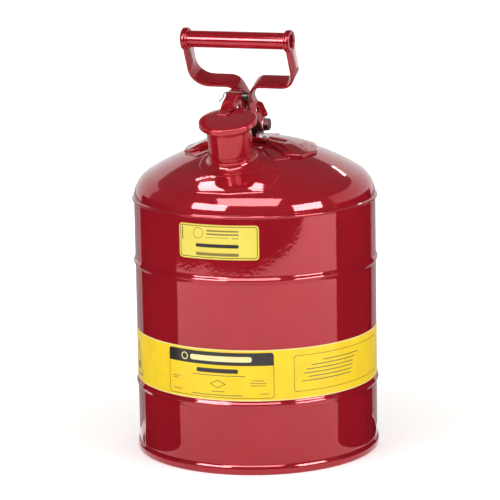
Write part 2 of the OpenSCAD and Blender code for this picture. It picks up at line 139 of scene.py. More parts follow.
class Nodes:
    """Short names for building one node material."""

    def __init__(self, name):
        self.material = bpy.data.materials.new(name)
        self.material.use_nodes = True
        self.tree = self.material.node_tree
        self.shader = self.tree.nodes["Principled BSDF"]
        coords = self.tree.nodes.new("ShaderNodeTexCoord")
        self.place = coords.outputs["Object"]

    def new(self, kind, **settings):
        node = self.tree.nodes.new(kind)
        for key, value in settings.items():
            if key in node.inputs:
                node.inputs[key].default_value = value
            else:
                setattr(node, key, value)
        return node

    def link(self, a, b):
        self.tree.links.new(a, b)

    def noise(self, scale, detail=2.0, stretch=None):
        node = self.new("ShaderNodeTexNoise", Scale=scale, Detail=detail)
        source = self.place
        if stretch:
            mapping = self.new("ShaderNodeMapping")
            mapping.inputs["Scale"].default_value = stretch
            self.link(source, mapping.inputs["Vector"])
            source = mapping.outputs["Vector"]
        self.link(source, node.inputs["Vector"])
        return node.outputs["Fac"]

    def ramp(self, value, stops):
        node = self.new("ShaderNodeValToRGB")
        ramp = node.color_ramp
        while len(ramp.elements) < len(stops):
            ramp.elements.new(0.5)
        for element, (at, colour) in zip(ramp.elements, stops):
            element.position = at
            element.color = (*colour, 1.0)
        self.link(value, node.inputs["Fac"])
        return node.outputs["Color"]

    def spread(self, value, low, high, start=0.0, end=1.0):
        node = self.new("ShaderNodeMapRange")
        for key, number in zip(("From Min", "From Max", "To Min", "To Max"), (start, end, low, high)):
            node.inputs[key].default_value = number
        self.link(value, node.inputs["Value"])
        return node.outputs["Result"]

    def mix(self, factor, a, b):
        node = self.new("ShaderNodeMix", data_type="RGBA")
        for socket, value in ((0, factor), (6, a), (7, b)):
            if isinstance(value, bpy.types.NodeSocket):
                self.link(value, node.inputs[socket])
            elif socket == 0:
                node.inputs[socket].default_value = value
            else:
                node.inputs[socket].default_value = (*value, 1.0)
        return node.outputs[2]

    def bump(self, height, strength, distance, normal=None):
        node = self.new("ShaderNodeBump", Strength=strength, Distance=distance)
        self.link(height, node.inputs["Height"])
        if normal is not None:
            self.link(normal, node.inputs["Normal"])
        return node.outputs["Normal"]

    def set(self, **values):
        for key, value in values.items():
            socket = self.shader.inputs[key.replace("_", " ")]
            if isinstance(value, bpy.types.NodeSocket):
                self.link(value, socket)
            else:
                socket.default_value = value
        return self.material


def enamel(name, colour, dust=0.0):
    """Gloss paint over pressed steel: orange peel, faint uneven colour, fine wear."""
    n = Nodes(name)
    low = tuple(c * 0.92 for c in colour)
    high = tuple(min(1.0, c * 1.05) for c in colour)
    base = n.ramp(n.noise(14.0, 4.0), [(0.3, low), (0.7, high)])
    specks = n.ramp(n.noise(700.0, 2.0), [(0.74, (0, 0, 0)), (0.82, (1, 1, 1))])
    base = n.mix(n.spread(specks, 0.0, 0.05 + dust), base, tuple(0.4 * c + 0.02 for c in colour))
    peel = n.bump(n.noise(240.0, 1.0), 0.08, 0.0005)
    waves = n.bump(n.noise(8.0, 1.5), 0.22, 0.0022, peel)
    return n.set(
        Base_Color=base,
        Metallic=0.3,
        Roughness=n.spread(n.noise(420.0, 3.0), 0.05, 0.10),
        Normal=waves,
        Coat_Weight=1.0,
        Coat_Roughness=0.03,
        Coat_IOR=1.45,
        Specular_IOR_Level=0.1,
        Coat_Normal=waves,
    )


def plated(name, colour, rough=(0.25, 0.5), tint=(0.55, 0.5, 0.42)):
    """Zinc plate: mottled grains, cloudy tint, fine scratches."""
    n = Nodes(name)
    grains = n.new("ShaderNodeTexVoronoi", Scale=420.0)
    n.link(n.place, grains.inputs["Vector"])
    shade = n.ramp(grains.outputs["Color"], [(0.0, tuple(c * 0.8 for c in colour)), (1.0, colour)])
    stain = n.ramp(n.noise(60.0, 3.0), [(0.48, (0, 0, 0)), (0.75, (1, 1, 1))])
    scratch = n.noise(300.0, 4.0, (1.0, 12.0, 1.0))
    return n.set(
        Base_Color=n.mix(n.spread(stain, 0.0, 0.5), shade, tint),
        Metallic=1.0,
        Roughness=n.spread(n.noise(180.0, 3.0), *rough),
        Normal=n.bump(scratch, 0.2, 0.0003),
    )


def rubber(name):
    n = Nodes(name)
    bloom = n.ramp(n.noise(90.0, 4.0), [(0.35, (0.012, 0.012, 0.012)), (0.75, (0.045, 0.043, 0.04))])
    return n.set(
        Base_Color=bloom,
        Roughness=n.spread(n.noise(300.0, 2.0), 0.55, 0.8),
        Normal=n.bump(n.noise(800.0, 2.0), 0.25, 0.0003),
    )


def woven(name):
    """Brass wire cloth, drawn as two crossed sets of wires."""
    n = Nodes(name)
    split = n.new("ShaderNodeSeparateXYZ")
    n.link(n.place, split.inputs["Vector"])
    heights = []
    for kind in ("X", "Z"):
        wave = n.new("ShaderNodeMath", operation="SINE")
        scaled = n.new("ShaderNodeMath", operation="MULTIPLY")
        scaled.inputs[1].default_value = 5200.0
        n.link(split.outputs[kind], scaled.inputs[0])
        n.link(scaled.outputs[0], wave.inputs[0])
        heights.append(wave.outputs[0])
    top = n.new("ShaderNodeMath", operation="MAXIMUM")
    n.link(heights[0], top.inputs[0])
    n.link(heights[1], top.inputs[1])
    weave = top.outputs[0]
    # painted shade: the low parts of the weave, between the wires, are painted near black for the dark seen
    # through the cloth
    return n.set(
        Base_Color=n.ramp(
            n.spread(weave, 0.0, 1.0, -1.0, 1.0), [(0.35, (0.03, 0.02, 0.01)), (0.75, (0.62, 0.47, 0.24))]
        ),
        Metallic=n.spread(weave, 0.0, 1.0, -0.4, 0.3),
        Roughness=n.spread(n.noise(200.0), 0.3, 0.55),
        Normal=n.bump(weave, 0.8, 0.0004),
    )


def film(name, colour, deep):
    """Printed plastic film: slightly uneven ink under a gloss varnish."""
    n = Nodes(name)
    ink = n.ramp(n.noise(45.0, 3.0), [(0.3, deep), (0.7, colour)])
    grain = n.noise(1500.0, 2.0)
    return n.set(
        Base_Color=n.mix(n.spread(grain, 0.0, 0.10), ink, tuple(c * 0.8 for c in deep)),
        Roughness=n.spread(n.noise(120.0, 2.0), 0.30, 0.45),
        Normal=n.bump(n.noise(30.0, 2.0), 0.12, 0.0008),
        Specular_IOR_Level=0.3,
        Coat_Weight=0.3,
        Coat_Roughness=0.12,
    )


RED = (0.40, 0.011, 0.022)
PAINT = {
    "body_paint": enamel("body_paint", RED),
    "dome_paint": enamel("dome_paint", RED),
    "spout_paint": enamel("spout_paint", (0.42, 0.011, 0.022)),
    "fitting_paint": enamel("fitting_paint", (0.37, 0.012, 0.022), 0.1),
    "handle_paint": enamel("handle_paint", (0.38, 0.011, 0.021), 0.05),
    "zinc": plated("zinc", (0.66, 0.68, 0.70)),
    "spring_steel": plated("spring_steel", (0.16, 0.13, 0.13), (0.2, 0.4), (0.08, 0.04, 0.03)),
    "brass_mesh": woven("brass_mesh"),
    "gasket_rubber": rubber("gasket_rubber"),
    "band_film": film("band_film", (0.99, 0.70, 0.006), (0.94, 0.63, 0.004)),
    "spec_film": film("spec_film", (0.86, 0.71, 0.11), (0.82, 0.66, 0.08)),
    "ink": film("ink", (0.030, 0.024, 0.022), (0.018, 0.015, 0.014)),
    "pale_ink": film("pale_ink", (0.98, 0.86, 0.42), (0.95, 0.80, 0.32)),
    "grey_ink": film("grey_ink", (0.30, 0.22, 0.05), (0.24, 0.17, 0.04)),
    # painted shade: a near-black plate that stands for the shade inside the saddle slots and round the yoke
    "painted_shade_black": plated("painted_shade_black", (0.05, 0.035, 0.035), (0.25, 0.45), (0.03, 0.01, 0.01)),
    "dark_bolt": plated("dark_bolt", (0.20, 0.10, 0.10), (0.22, 0.4), (0.10, 0.03, 0.03)),
}

# ---- mesh helpers: everything is drawn in millimetres in the row frame ----


def finish_piece(name, bm, look, body, nodes=(), sharp=35.0, place=None):
    if place is not None:
        bm.transform(place)
    bm.transform(Matrix.Scale(MM, 4))
    bmesh.ops.recalc_face_normals(bm, faces=bm.faces)
    data = to_mesh(name, bm)
    data.shade_smooth()
    data.set_sharp_from_angle(angle=radians(sharp))
    data.materials.append(PAINT[look])
    piece = link_object(name, data)
    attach(piece, body)
    if nodes:
        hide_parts(*nodes)


def arc(cx, cy, r, a, b, n):
    out = []
    for i in range(n + 1):
        t = radians(a + (b - a) * i / n)
        out.append((cx + r * cos(t), cy + r * sin(t)))
    return out


def rounded(points, r, n=4):
    """Rounds every corner of a closed outline with radius r, or less on short sides."""
    out = []
    count = len(points)
    for i, p in enumerate(points):
        p = Vector(p)
        a = Vector(points[i - 1]) - p
        b = Vector(points[(i + 1) % count]) - p
        turn = a.angle(b)
        back = min(r / tan(turn / 2), 0.45 * a.length, 0.45 * b.length)
        if turn > radians(172) or back < 0.05:
            out.append(tuple(p))
            continue
        start, end = p + a.normalized() * back, p + b.normalized() * back
        for k in range(n + 1):
            t = k / n
            q = start * (1 - t) ** 2 + p * 2 * t * (1 - t) + end * t**2
            out.append(tuple(q))
    return out


def lathe(profile, segments=128, closed=True, ripple=None):
    """Turns an (r, z) outline about Z. ripple(angle, r) may move a point outwards."""
    bm = bmesh.new()
    rings = []
    for r, z in profile:
        if r < 1e-6:
            rings.append([bm.verts.new((0, 0, z))])
            continue
        ring = []
        for i in range(segments):
            a = 2 * pi * i / segments
            q = r + (ripple(a, r) if ripple else 0.0)
            ring.append(bm.verts.new((q * sin(a), -q * cos(a), z)))
        rings.append(ring)
    pairs = list(zip(rings, rings[1:] + rings[:1] if closed else rings[1:]))
    for low, high in pairs:
        for i in range(segments):
            j = (i + 1) % segments
            quad = [low[i % len(low)], low[j % len(low)], high[j % len(high)], high[i % len(high)]]
            corners = list(dict.fromkeys(quad))
            if len(corners) > 2:
                bm.faces.new(corners)
    return bm


def slab(outline, holes, z0, z1, bevel=0.5, segments=2):
    """A flat plate with bevelled edges, drawn in X and Y, from z0 to z1."""
    data = bpy.data.curves.new("slab", "CURVE")
    data.dimensions = "2D"
    data.fill_mode = "BOTH"
    data.bevel_depth = bevel
    data.bevel_resolution = segments
    data.offset = -bevel
    data.extrude = (z1 - z0) / 2 - bevel
    for points in [outline, *holes]:
        spline = data.splines.new("POLY")
        spline.points.add(len(points) - 1)
        for point, (x, y) in zip(spline.points, points):
            point.co = (x, y, 0, 1)
        spline.use_cyclic_u = True
    holder = link_object("slab", data)
    bpy.context.view_layer.update()
    made = bpy.data.meshes.new_from_object(holder)
    bpy.data.objects.remove(holder)
    bpy.data.curves.remove(data)
    bm = bmesh.new()
    bm.from_mesh(made)
    bpy.data.meshes.remove(made)
    bmesh.ops.remove_doubles(bm, verts=bm.verts, dist=0.001)
    bmesh.ops.translate(bm, verts=bm.verts, vec=(0, 0, (z0 + z1) / 2))
    return bm


def side_plate(outline, holes, x0, x1, bevel=0.5):
    """A plate across X, drawn as (y, z) points."""
    bm = slab(outline, holes, x0, x1, bevel)
    bm.transform(Matrix(((0, 0, 1, 0), (1, 0, 0, 0), (0, 1, 0, 0), (0, 0, 0, 1))))
    return bm


def circle(cx, cy, r, n=40):
    return [(cx + r * cos(2 * pi * i / n), cy + r * sin(2 * pi * i / n)) for i in range(n)]


def merge(*parts):
    out = bmesh.new()
    for part in parts:
        data = to_mesh("part", part)
        out.from_mesh(data)
        bpy.data.meshes.remove(data)
    return out


def grid_cut(bm, axis, low, high, step):
    """Cuts the mesh across one axis so that it can be bent."""
    normal = Vector((0, 0, 0))
    normal[axis] = 1
    at = low
    while at <= high:
        spot = Vector((0, 0, 0))
        spot[axis] = at
        bmesh.ops.bisect_plane(
            bm, geom=bm.verts[:] + bm.edges[:] + bm.faces[:], plane_co=spot, plane_no=normal
        )
        at += step


def skin(bm, rings):
    """Joins rings of points into a wall, and closes both ends."""
    count = len(rings[0])
    for low, high in zip(rings, rings[1:]):
        for k in range(count):
            j = (k + 1) % count
            bm.faces.new((low[k], low[j], high[j], high[k]))
    bm.faces.new(rings[0])
    bm.faces.new(rings[-1])


def tube(path, radius, sides=12):
    """A round wire along a path, with parallel rings."""
    bm = bmesh.new()
    points = [Vector(p) for p in path]
    normal = None
    rings = []
    for i, p in enumerate(points):
        ahead = points[min(i + 1, len(points) - 1)] - points[max(i - 1, 0)]
        ahead.normalize()
        if normal is None:
            normal = ahead.orthogonal().normalized()
        normal = (normal - ahead * normal.dot(ahead)).normalized()
        other = ahead.cross(normal)
        ring = []
        for k in range(sides):
            a = 2 * pi * k / sides
            ring.append(bm.verts.new(p + radius * (cos(a) * normal + sin(a) * other)))
        rings.append(ring)
    skin(bm, rings)
    return bm


def smooth_path(points, steps=8):
    """A Catmull-Rom curve through the points."""
    p = [Vector(q) for q in points]
    p = [2 * p[0] - p[1], *p, 2 * p[-1] - p[-2]]
    out = []
    for i in range(1, len(p) - 2):
        for k in range(steps):
            t = k / steps
            a, b, c, d = p[i - 1], p[i], p[i + 1], p[i + 2]
            out.append(
                0.5 * (
                    2 * b + (c - a) * t + (2 * a - 5 * b + 4 * c - d) * t**2 + (3 * b - a - 3 * c + d) * t**3
                )
            )
    out.append(p[-2])
    return out


def drilled(bm, rods):
    """Cuts round holes: each rod is (radius, start, end)."""
    body_data = to_mesh("drilled", bm)
    body = link_object("drilled", body_data)
    cutter = merge(*[tube([a, b], r, 32) for r, a, b in rods])
    bmesh.ops.recalc_face_normals(cutter, faces=cutter.faces)
    cut_data = to_mesh("cutter", cutter)
    tool = link_object("cutter", cut_data)
    boolean = body.modifiers.new("cut", "BOOLEAN")
    boolean.object = tool
    boolean.operation = "DIFFERENCE"
    boolean.solver = "EXACT"
    bpy.context.view_layer.update()
    dg = bpy.context.evaluated_depsgraph_get()
    result = bpy.data.meshes.new_from_object(body.evaluated_get(dg))
    out = bmesh.new()
    out.from_mesh(result)
    for thing in (body, tool):
        bpy.data.objects.remove(thing)
    for data in (body_data, cut_data, result):
        bpy.data.meshes.remove(data)
    return out


def hex_prism(across, h, n=72):
    """A hexagon head with the usual turned chamfer on its outer face."""
    flat = across / 2
    turns = [2 * pi * i / n for i in range(n)]
    edge = [flat / cos((a + pi / 6) % (pi / 3) - pi / 6) for a in turns]
    levels = [[(r, 0.0) for r in edge], [(r, h - 0.58 * max(0.0, r - flat + 0.2)) for r in edge]]
    levels += [[(flat - 0.2, h)] * n, [(flat - 1.2, h)] * n]
    bm = bmesh.new()
    rings = []
    for level in levels:
        ring = [(r * cos(a), r * sin(a), z) for a, (r, z) in zip(turns, level)]
        rings.append([bm.verts.new(q) for q in ring])
    skin(bm, rings)
    return bm


def moved(bm, x, y, z):
    bm.transform(Matrix.Translation((x, y, z)))
    return bm


def turned(bm, at, direction):
    """Moves a piece drawn along +Z so that it points in direction, at a place."""
    spin = Vector((0, 0, 1)).rotation_difference(Vector(direction)).to_matrix().to_4x4()
    bm.transform(Matrix.Translation(at) @ spin)
    return bm


SPOUT = Matrix.Translation((0, -SPOUT_Y, SPOUT_Z)) @ Matrix.Rotation(radians(SPOUT_LEAN), 4, "X")
FLANGE = (
    Matrix.Translation((0, 0, CROWN_Z))
    @ Matrix.Rotation(radians(FLANGE_TILT), 4, "X")
    @ Matrix.Translation((0, 0, CROWN_R))
)
HANDLE = Matrix.Translation(PIVOT) @ Matrix.Rotation(radians(LEAN), 4, "X")

# ---- can body ----

SEAM_AT = radians(-49.0)


def side_seam(angle, r):
    """The lapped seam of the rolled wall, a low strip up one side."""
    if r < WALL_R - 0.5:
        return 0.0
    along = abs((angle - SEAM_AT + pi) % (2 * pi) - pi) * WALL_R
    return SEAM_RISE * max(0.0, 1 - max(0.0, along - SEAM_HALF) / SEAM_EDGE)


def bead_line(z, r):
    """A bead's outline at height z, with a plain ring beside each end of it."""
    out = [(r, z - BEAD_HALF - 0.6)]
    for i in range(17):
        t = 2 * i / 16 - 1
        out.append((r + BEAD_OUT * (1 + cos(pi * t)) / 2, z + BEAD_HALF * t))
    return out + [(r, z + BEAD_HALF + 0.6)]


def build_body():
    outer = [(WALL_R, BASE_LIFT + SHEET_T), (WALL_R, 14.0)]
    outer += bead_line(BEADS[0], WALL_R) + bead_line(BEADS[1], WALL_R)
    outer += [(WALL_R, WALL_TOP)]
    inner = [(WALL_R - SHEET_T, WALL_TOP), (WALL_R - SHEET_T, BASE_LIFT + SHEET_T)]
    finish_piece(
        "can_wall", lathe(outer + inner, 360, ripple=side_seam), "body_paint", "can", ("body_shell",)
    )

    base = [(0, BASE_LIFT), (60, BASE_LIFT), (62, BASE_LIFT - 0.8), (66, BASE_LIFT - 0.8), (68, BASE_LIFT)]
    base += [(137, BASE_LIFT)] + arc(137, BASE_LIFT - 4, 4, 90, 0, 6) + [
        (141.6, 1.2), (142.6, 0.3), (143.4, 0.0), (146.4, 0.0)
    ]
    base += arc(RIM_R - 2.4, 2.4, 2.4, -80, 0, 6)
    base += [
        (RIM_R, 6.5), (RIM_R - 0.3, 8.6), (RIM_R - 1.0, 10.2), (WALL_R + 0.9, 11.4), (WALL_R + 0.3, 12.0)
    ]
    base += [(WALL_R - 0.6, 11.0), (WALL_R - 0.6, BASE_LIFT + 1.1), (0, BASE_LIFT + 1.1)]
    finish_piece("base_pan", lathe(base, 256, closed=False), "body_paint", "can", ("bottom_pan",), 50)


def build_dome():
    crown = arc(0, CROWN_Z, CROWN_R, 90, 90 - CROWN_ANGLE, 60)
    knuckle = arc(KNUCKLE_X, KNUCKLE_Z, KNUCKLE_R, 90 - CROWN_ANGLE, 4, 24)[1:]
    hem = arc(RIM_R - HEM_R, HEM_Z, HEM_R, 70, -75, 12)
    line = crown + knuckle + [(WALL_R + 0.05, HEM_Z + 2.4)] + hem + [(WALL_R + 0.1, WALL_TOP)]
    inner = [(WALL_R - 0.3, WALL_TOP + 0.4), (WALL_R - SHEET_T, WALL_TOP + 1.4)]
    inner += arc(KNUCKLE_X, KNUCKLE_Z, KNUCKLE_R - SHEET_T, 4, 90 - CROWN_ANGLE, 12)
    inner += arc(0, CROWN_Z, CROWN_R - SHEET_T, 90 - CROWN_ANGLE, 90, 60)
    bm = lathe(line + inner, 256, closed=False)
    back = SPOUT.inverted()
    gone = []
    for face in bm.faces:
        middle = face.calc_center_median()
        spot = back @ middle
        if hypot(spot.x, spot.y) < SPOUT_R - 0.5 and middle.y < -20:
            gone.append(face)
    bmesh.ops.delete(bm, geom=gone, context="FACES")
    finish_piece("domed_top", bm, "dome_paint", "can", ("top_dome",), 40)


# ---- spout, flame arrester and lid ----


def build_spout():
    foot = SPOUT_R + 0.6
    line = [(foot, 12.0), (foot, 5.2)] + arc(foot + 7, 5.2, 7, 180, 258, 12)
    line += [(FLANGE_R - 2.4, -2.0), (FLANGE_R - 0.8, -2.4), (FLANGE_R, -3.0), (FLANGE_R - 0.2, -3.6)]
    finish_piece(
        "spout_skirt", lathe(line, 160, closed=False), "spout_paint", "can", ("spout_flange",), 50, FLANGE
    )

    inner = SPOUT_R - 1.5
    lip_z = -LID_RIM - 0.3
    line = [
        (inner, -60), (SPOUT_R, -60), (SPOUT_R, lip_z - 5.6), (SPOUT_R + 0.3, lip_z - 4.6),
        (SPOUT_R + 1.2, lip_z - 3.4)
    ]
    line += [
        (LIP_R - 1.6, lip_z - 1.6), (LIP_R - 0.5, lip_z - 1.0), (LIP_R, lip_z - 0.6),
        (LIP_R - 0.1, lip_z - 0.15)
    ]
    line += [
        (LIP_R - 0.5, lip_z), (LIP_R - 2, lip_z), (LIP_R - 4, lip_z - 1.2), (inner + 0.6, lip_z - 4.0),
        (inner, lip_z - 6.0)
    ]
    finish_piece("spout_pipe", lathe(line, 160), "spout_paint", "can", ("spout_tube",), 40, SPOUT)

    ring = [(p + SPOUT_R + 0.2, q - 45.4) for p, q in arc(0, 0, 1.05, 0, 330, 11)]
    finish_piece("solder_ring", lathe(ring, 160), "spout_paint", "can", (), 60, SPOUT)

    collar = rounded(
        [(inner, -27), (inner, -17), (19.3, -17), (19.3, -20), (21.5, -20), (23.6, -21), (23.6, -27)], 0.5
    )
    finish_piece("arrester_ring", lathe(collar, 128), "zinc", "can", ("arrester_collar",), 40, SPOUT)
    for node, r, low in (("arrester_outer_screen", 21.5, -104), ("arrester_inner_screen", 19.9, -102)):
        cup = [(0, low), (r - 2, low), (r - 0.6, low + 0.6), (r, low + 2)]
        cup += [(r, z) for z in range(int(low) + 8, -24, 6)] + [
            (r, -20), (r - 0.6, -20), (r - 0.6, low + 2.4), (r - 2.4, low + 0.7), (0, low + 0.7)
        ]
        finish_piece(
            node.replace("arrester_", "") + "_cup", lathe(cup, 96, closed=False), "brass_mesh", "can",
            (node,), 40, SPOUT
        )


def build_lid():
    line = [(0, 2.9), (6, 2.9), (14, 2.8), (21, 2.65), (26, 2.45)] + arc(LID_R - 1.8, 0.4, 1.8, 82, 0, 8)
    line += [(LID_R, -1.2), (LID_R - 0.1, -2.6)] + arc(LID_R - 1.4, -LID_RIM + 1.4, 1.4, 0, -110, 8)
    line += [(LID_R - 2.8, -LID_RIM + 1.0), (LID_R - 2.8, -3), (0, -3)]
    finish_piece("lid_disc", lathe(line, 200, closed=False), "spout_paint", "lid", ("lid_cap",), 45, SPOUT)
    low = -LID_RIM
    seal = rounded([(22, low), (LID_R - 2.9, low), (LID_R - 2.9, -3.2), (22, -3.2)], 0.6)
    finish_piece("seal_ring", lathe(seal, 128), "gasket_rubber", "lid", ("lid_gasket",), 40, SPOUT)
    plate = [
        (2.55, -3.1), (21.8, -3.1), (21.8, low), (24, low), (24, low - 0.6), (23.6, low - 1.1),
        (21.6, low - 1.9), (20.8, low - 2.1), (2.55, low - 2.1)
    ]
    finish_piece("seal_plate", lathe(plate, 96), "zinc", "lid", ("gasket_retainer",), 40, SPOUT)
    low -= 2.1
    screw = [
        (0, -3.1), (2.4, -3.1), (2.4, low), (4.4, low), (4.6, low - 0.4), (4.4, low - 1.6), (3.4, low - 2.2),
        (0, low - 2.4)
    ]
    finish_piece("seal_screw", lathe(screw, 48, closed=False), "zinc", "lid", ("gasket_screw",), 40, SPOUT)


ARM_LINE = [
    (-90, 418.5), (-82.2, 420.7), (-74.6, 423.9), (-72.2, 425.9), (-63.6, 433.2), (-60.6, 434.0),
    (-50.2, 441.2), (-44.0, 444.4), (-30, 444.4)
]


def arm_height(y):
    """Height of the lever's top face at y."""
    for (y0, z0), (y1, z1) in zip(ARM_LINE, ARM_LINE[1:]):
        if y <= y1:
            return z0 + (z1 - z0) * (y - y0) / (y1 - y0)
    return ARM_LINE[-1][1]


def build_arm():
    end = SPOUT @ Vector((0, 7.0, 4.4))
    top = [
        (-37.2, 443.8), (-38.6, 444.4), (-44.0, 444.4), (-50.2, 441.2), (-60.6, 434.0), (-63.6, 433.2),
        (-72.2, 425.9)
    ]
    top += [(-74.6, 423.9), (end.y - 0.4, end.z + 0.1), (end.y - 0.9, end.z - 0.7)]
    under = [
        (end.y - 0.4, end.z - 1.5), (-75.0, 422.4), (-72.8, 424.2), (-64.0, 431.4), (-60.9, 432.3),
        (-50.4, 439.7), (-44.0, 442.8), (-38.0, 442.7)
    ]
    half = ARM_W / 2
    sheet = side_plate(rounded(top + under, 0.9, 3), [], -half, half, 0.45)
    flange = [
        (-38.2, 444.1), (-44.0, 444.1), (-50.2, 440.9), (-60.5, 433.7), (-63.5, 432.9), (-72.0, 425.5),
        (-73.5, 424.1)
    ]
    flange += [
        (-73.5, 423.1), (-66.0, 424.3), (-60.0, 425.8), (-54.0, 427.4), (-46.0, 427.2), (-40.0, 428.3),
        (-36.6, 433.5), (-36.4, 437.5)
    ]
    hole = circle(HINGE.y, HINGE.z, PIN_R + 0.1, 32)
    sides = [side_plate(rounded(flange, 1.5, 4), [hole], x, x + ARM_T, 0.35) for x in (-half, half - ARM_T)]
    bm = merge(sheet, *sides)
    # the right side leans outwards, so the top face is narrower than the flange
    for v in bm.verts:
        front = step_up(-v.co.y - 50, 10.0)
        top_z = arm_height(v.co.y)
        near = max(0.0, min(1.0, (v.co.z - top_z + 5.5) / 5.5))
        if v.co.x > 0:
            v.co.x -= 4.2 * near * (0.35 + 0.65 * front)
        else:
            v.co.x += 2.4 * near * (1 - front)
    finish_piece("lid_lever", bm, "spout_paint", "lid", ("lid_arm",), 35, Matrix.Translation((ARM_X, 0, 0)))
    heads = []
    for x in (-4.5, 4.5):
        head = lathe([(0, 4.4), (1.9, 4.4), (2.1, 4.8), (1.9, 5.3), (1.1, 5.6), (0, 5.7)], 32, closed=False)
        heads.append(moved(head, ARM_X + x, 10.5, 0))
    finish_piece("lever_rivets", merge(*heads), "spout_paint", "lid", ("lid_rivets",), 50, SPOUT)


# ---- lid hinge ----

COIL_R, COIL_WIRE, COIL_TURNS = 4.2, 0.8, 3.25
COIL_X0, COIL_X1 = ARM_X + 9.2, ARM_X + 15.0


def coil_point(t):
    a = radians(90 - 360 * COIL_TURNS * t)
    x = COIL_X0 + (COIL_X1 - COIL_X0) * t
    return Vector((x, HINGE.y + COIL_R * cos(a), HINGE.z + COIL_R * sin(a)))


def build_hinge():
    turns = [coil_point(i / 96) for i in range(97)]
    cheek = ARM_X + BRACKET_HALF
    fixed = [
        turns[-1], (COIL_X1 - 0.5, -36.6, HINGE.z - 8), (cheek + 4, -29, HINGE.z - 20),
        (cheek + 1.5, -24.4, HINGE.z - 25.4), (cheek - 3, -24.2, HINGE.z - 26)
    ]
    finish_piece(
        "closing_spring", tube(turns + smooth_path(fixed)[1:], COIL_WIRE), "spring_steel", "can",
        ("lid_spring",), 60
    )
    overlap = [coil_point(i / 96) for i in range(7, -1, -1)]
    free = [
        overlap[-1], (COIL_X0 + 0.2, -50.4, HINGE.z + 5.8), (ARM_X - 8.6, -50.6, HINGE.z + 5.5),
        (ARM_X - 10.2, -58, HINGE.z - 0.3), (ARM_X - 11.5, -67, HINGE.z - 3.5)
    ]
    finish_piece(
        "spring_lever_end", tube(overlap + smooth_path(free)[1:], COIL_WIRE * 0.75), "spring_steel", "lid",
        (), 60
    )

    pin = [
        (0, ARM_X - 12), (PIN_R - 0.4, ARM_X - 12), (PIN_R, ARM_X - 11.6), (PIN_R, ARM_X + 16),
        (3.6, ARM_X + 16)
    ]
    pin += [(4.0, ARM_X + 16.3), (3.8, ARM_X + 17.0), (2.6, ARM_X + 17.4), (0, ARM_X + 17.4)]
    bm = lathe(pin, 48, closed=False)
    finish_piece(
        "hinge_pin", turned(bm, (0, HINGE.y, HINGE.z), (1, 0, 0)), "dark_bolt", "can", ("lid_hinge_pin",), 40
    )
    clip = slab(circle(0, 0, 4.6, 48), [circle(0, 0, PIN_R, 40)], ARM_X - 11.4, ARM_X - 10.2, 0.3)
    finish_piece(
        "pin_clip", turned(clip, (0, HINGE.y, HINGE.z), (1, 0, 0)), "spring_steel", "can",
        ("hinge_pin_clip",), 40
    )

    side = [
        (-27, PLATFORM_Z), (-9.6, PLATFORM_Z), (-10.5, PLATFORM_Z + 6), (-23, HINGE.z - 30),
        (-35.6, HINGE.z - 4)
    ]
    side += [
        (-36.2, HINGE.z + 3), (-39.0, HINGE.z + 5.6), (-43.0, HINGE.z + 5.6), (-46.2, HINGE.z + 2.6),
        (-46.8, HINGE.z - 1), (-44, HINGE.z - 14), (-33, HINGE.z - 38), (-27, PLATFORM_Z + 6)
    ]
    hole = circle(HINGE.y, HINGE.z, PIN_R + 0.1, 32)
    eye = circle(-29.5, HINGE.z - 36, 2.2, 24)
    walls = [
        side_plate(
            rounded(side, 1.6, 3), [hole, eye], x, x + BRACKET_T, 0.4
        ) for x in (-BRACKET_HALF, BRACKET_HALF - BRACKET_T)
    ]
    web = slab(
        rounded(
            [(-BRACKET_HALF, -37.3), (BRACKET_HALF, -37.3), (BRACKET_HALF, -35.1), (-BRACKET_HALF, -35.1)],
            0.5
        ),
        [], HINGE.z - 30, HINGE.z - 20, 0.4
    )
    uprights = moved(merge(*walls, web), ARM_X, 0, 0)
    screws = [circle(x, SCREW_Y, 3.1, 24) for x in SCREW_X]
    foot = slab(
        rounded([(-23.4, -27), (21, -27), (21, -9.4), (-23.4, -9.4)], 3), screws, PLATFORM_Z, PLATFORM_Z + 2,
        0.4
    )
    finish_piece("lid_bracket", merge(uprights, foot), "fitting_paint", "can", ("hinge_bracket",), 35)


# ---- saddle on the dome ----


def inside(p, outline):
    """Signed distance to an outline, positive inside."""
    x, y = p
    best, hit = 1e9, False
    for i in range(len(outline)):
        ax, ay = outline[i - 1]
        bx, by = outline[i]
        dx, dy = bx - ax, by - ay
        t = max(0.0, min(1.0, ((x - ax) * dx + (y - ay) * dy) / (dx * dx + dy * dy)))
        best = min(best, hypot(x - ax - t * dx, y - ay - t * dy))
        if (ay > y) != (by > y) and x < ax + (y - ay) / dy * dx:
            hit = not hit
    return best if hit else -best


def mirrored(points):
    return points + [(-x, y) for x, y in reversed(points)]


def slot_outline(x0, x1, y, r):
    return arc(x1, y, r, -90, 90, 10) + arc(x0, y, r, 90, 270, 10)


def step_up(d, wide):
    t = max(0.0, min(1.0, 0.5 + d / wide))
    return t * t * (3 - 2 * t)


WING = [
    (22, -25), (35, -33), (43, -38), (53, -46), (62, -49), (75, -39), (83, -8), (78, 10), (68, 31), (50, 31),
    (22, 24)
]
BAR = [
    (10, -31), (38, -32), (46, -34), (59, -44.5), (66, -44), (75, -36), (84, -8), (78, 12), (66, 20), (61, 4),
    (60, -15), (46, -3), (36, -7), (10, -12)
]


SLOT_X, SLOT_Y, SLOT_R = (28.5, 44.5), -20.5, 3.1


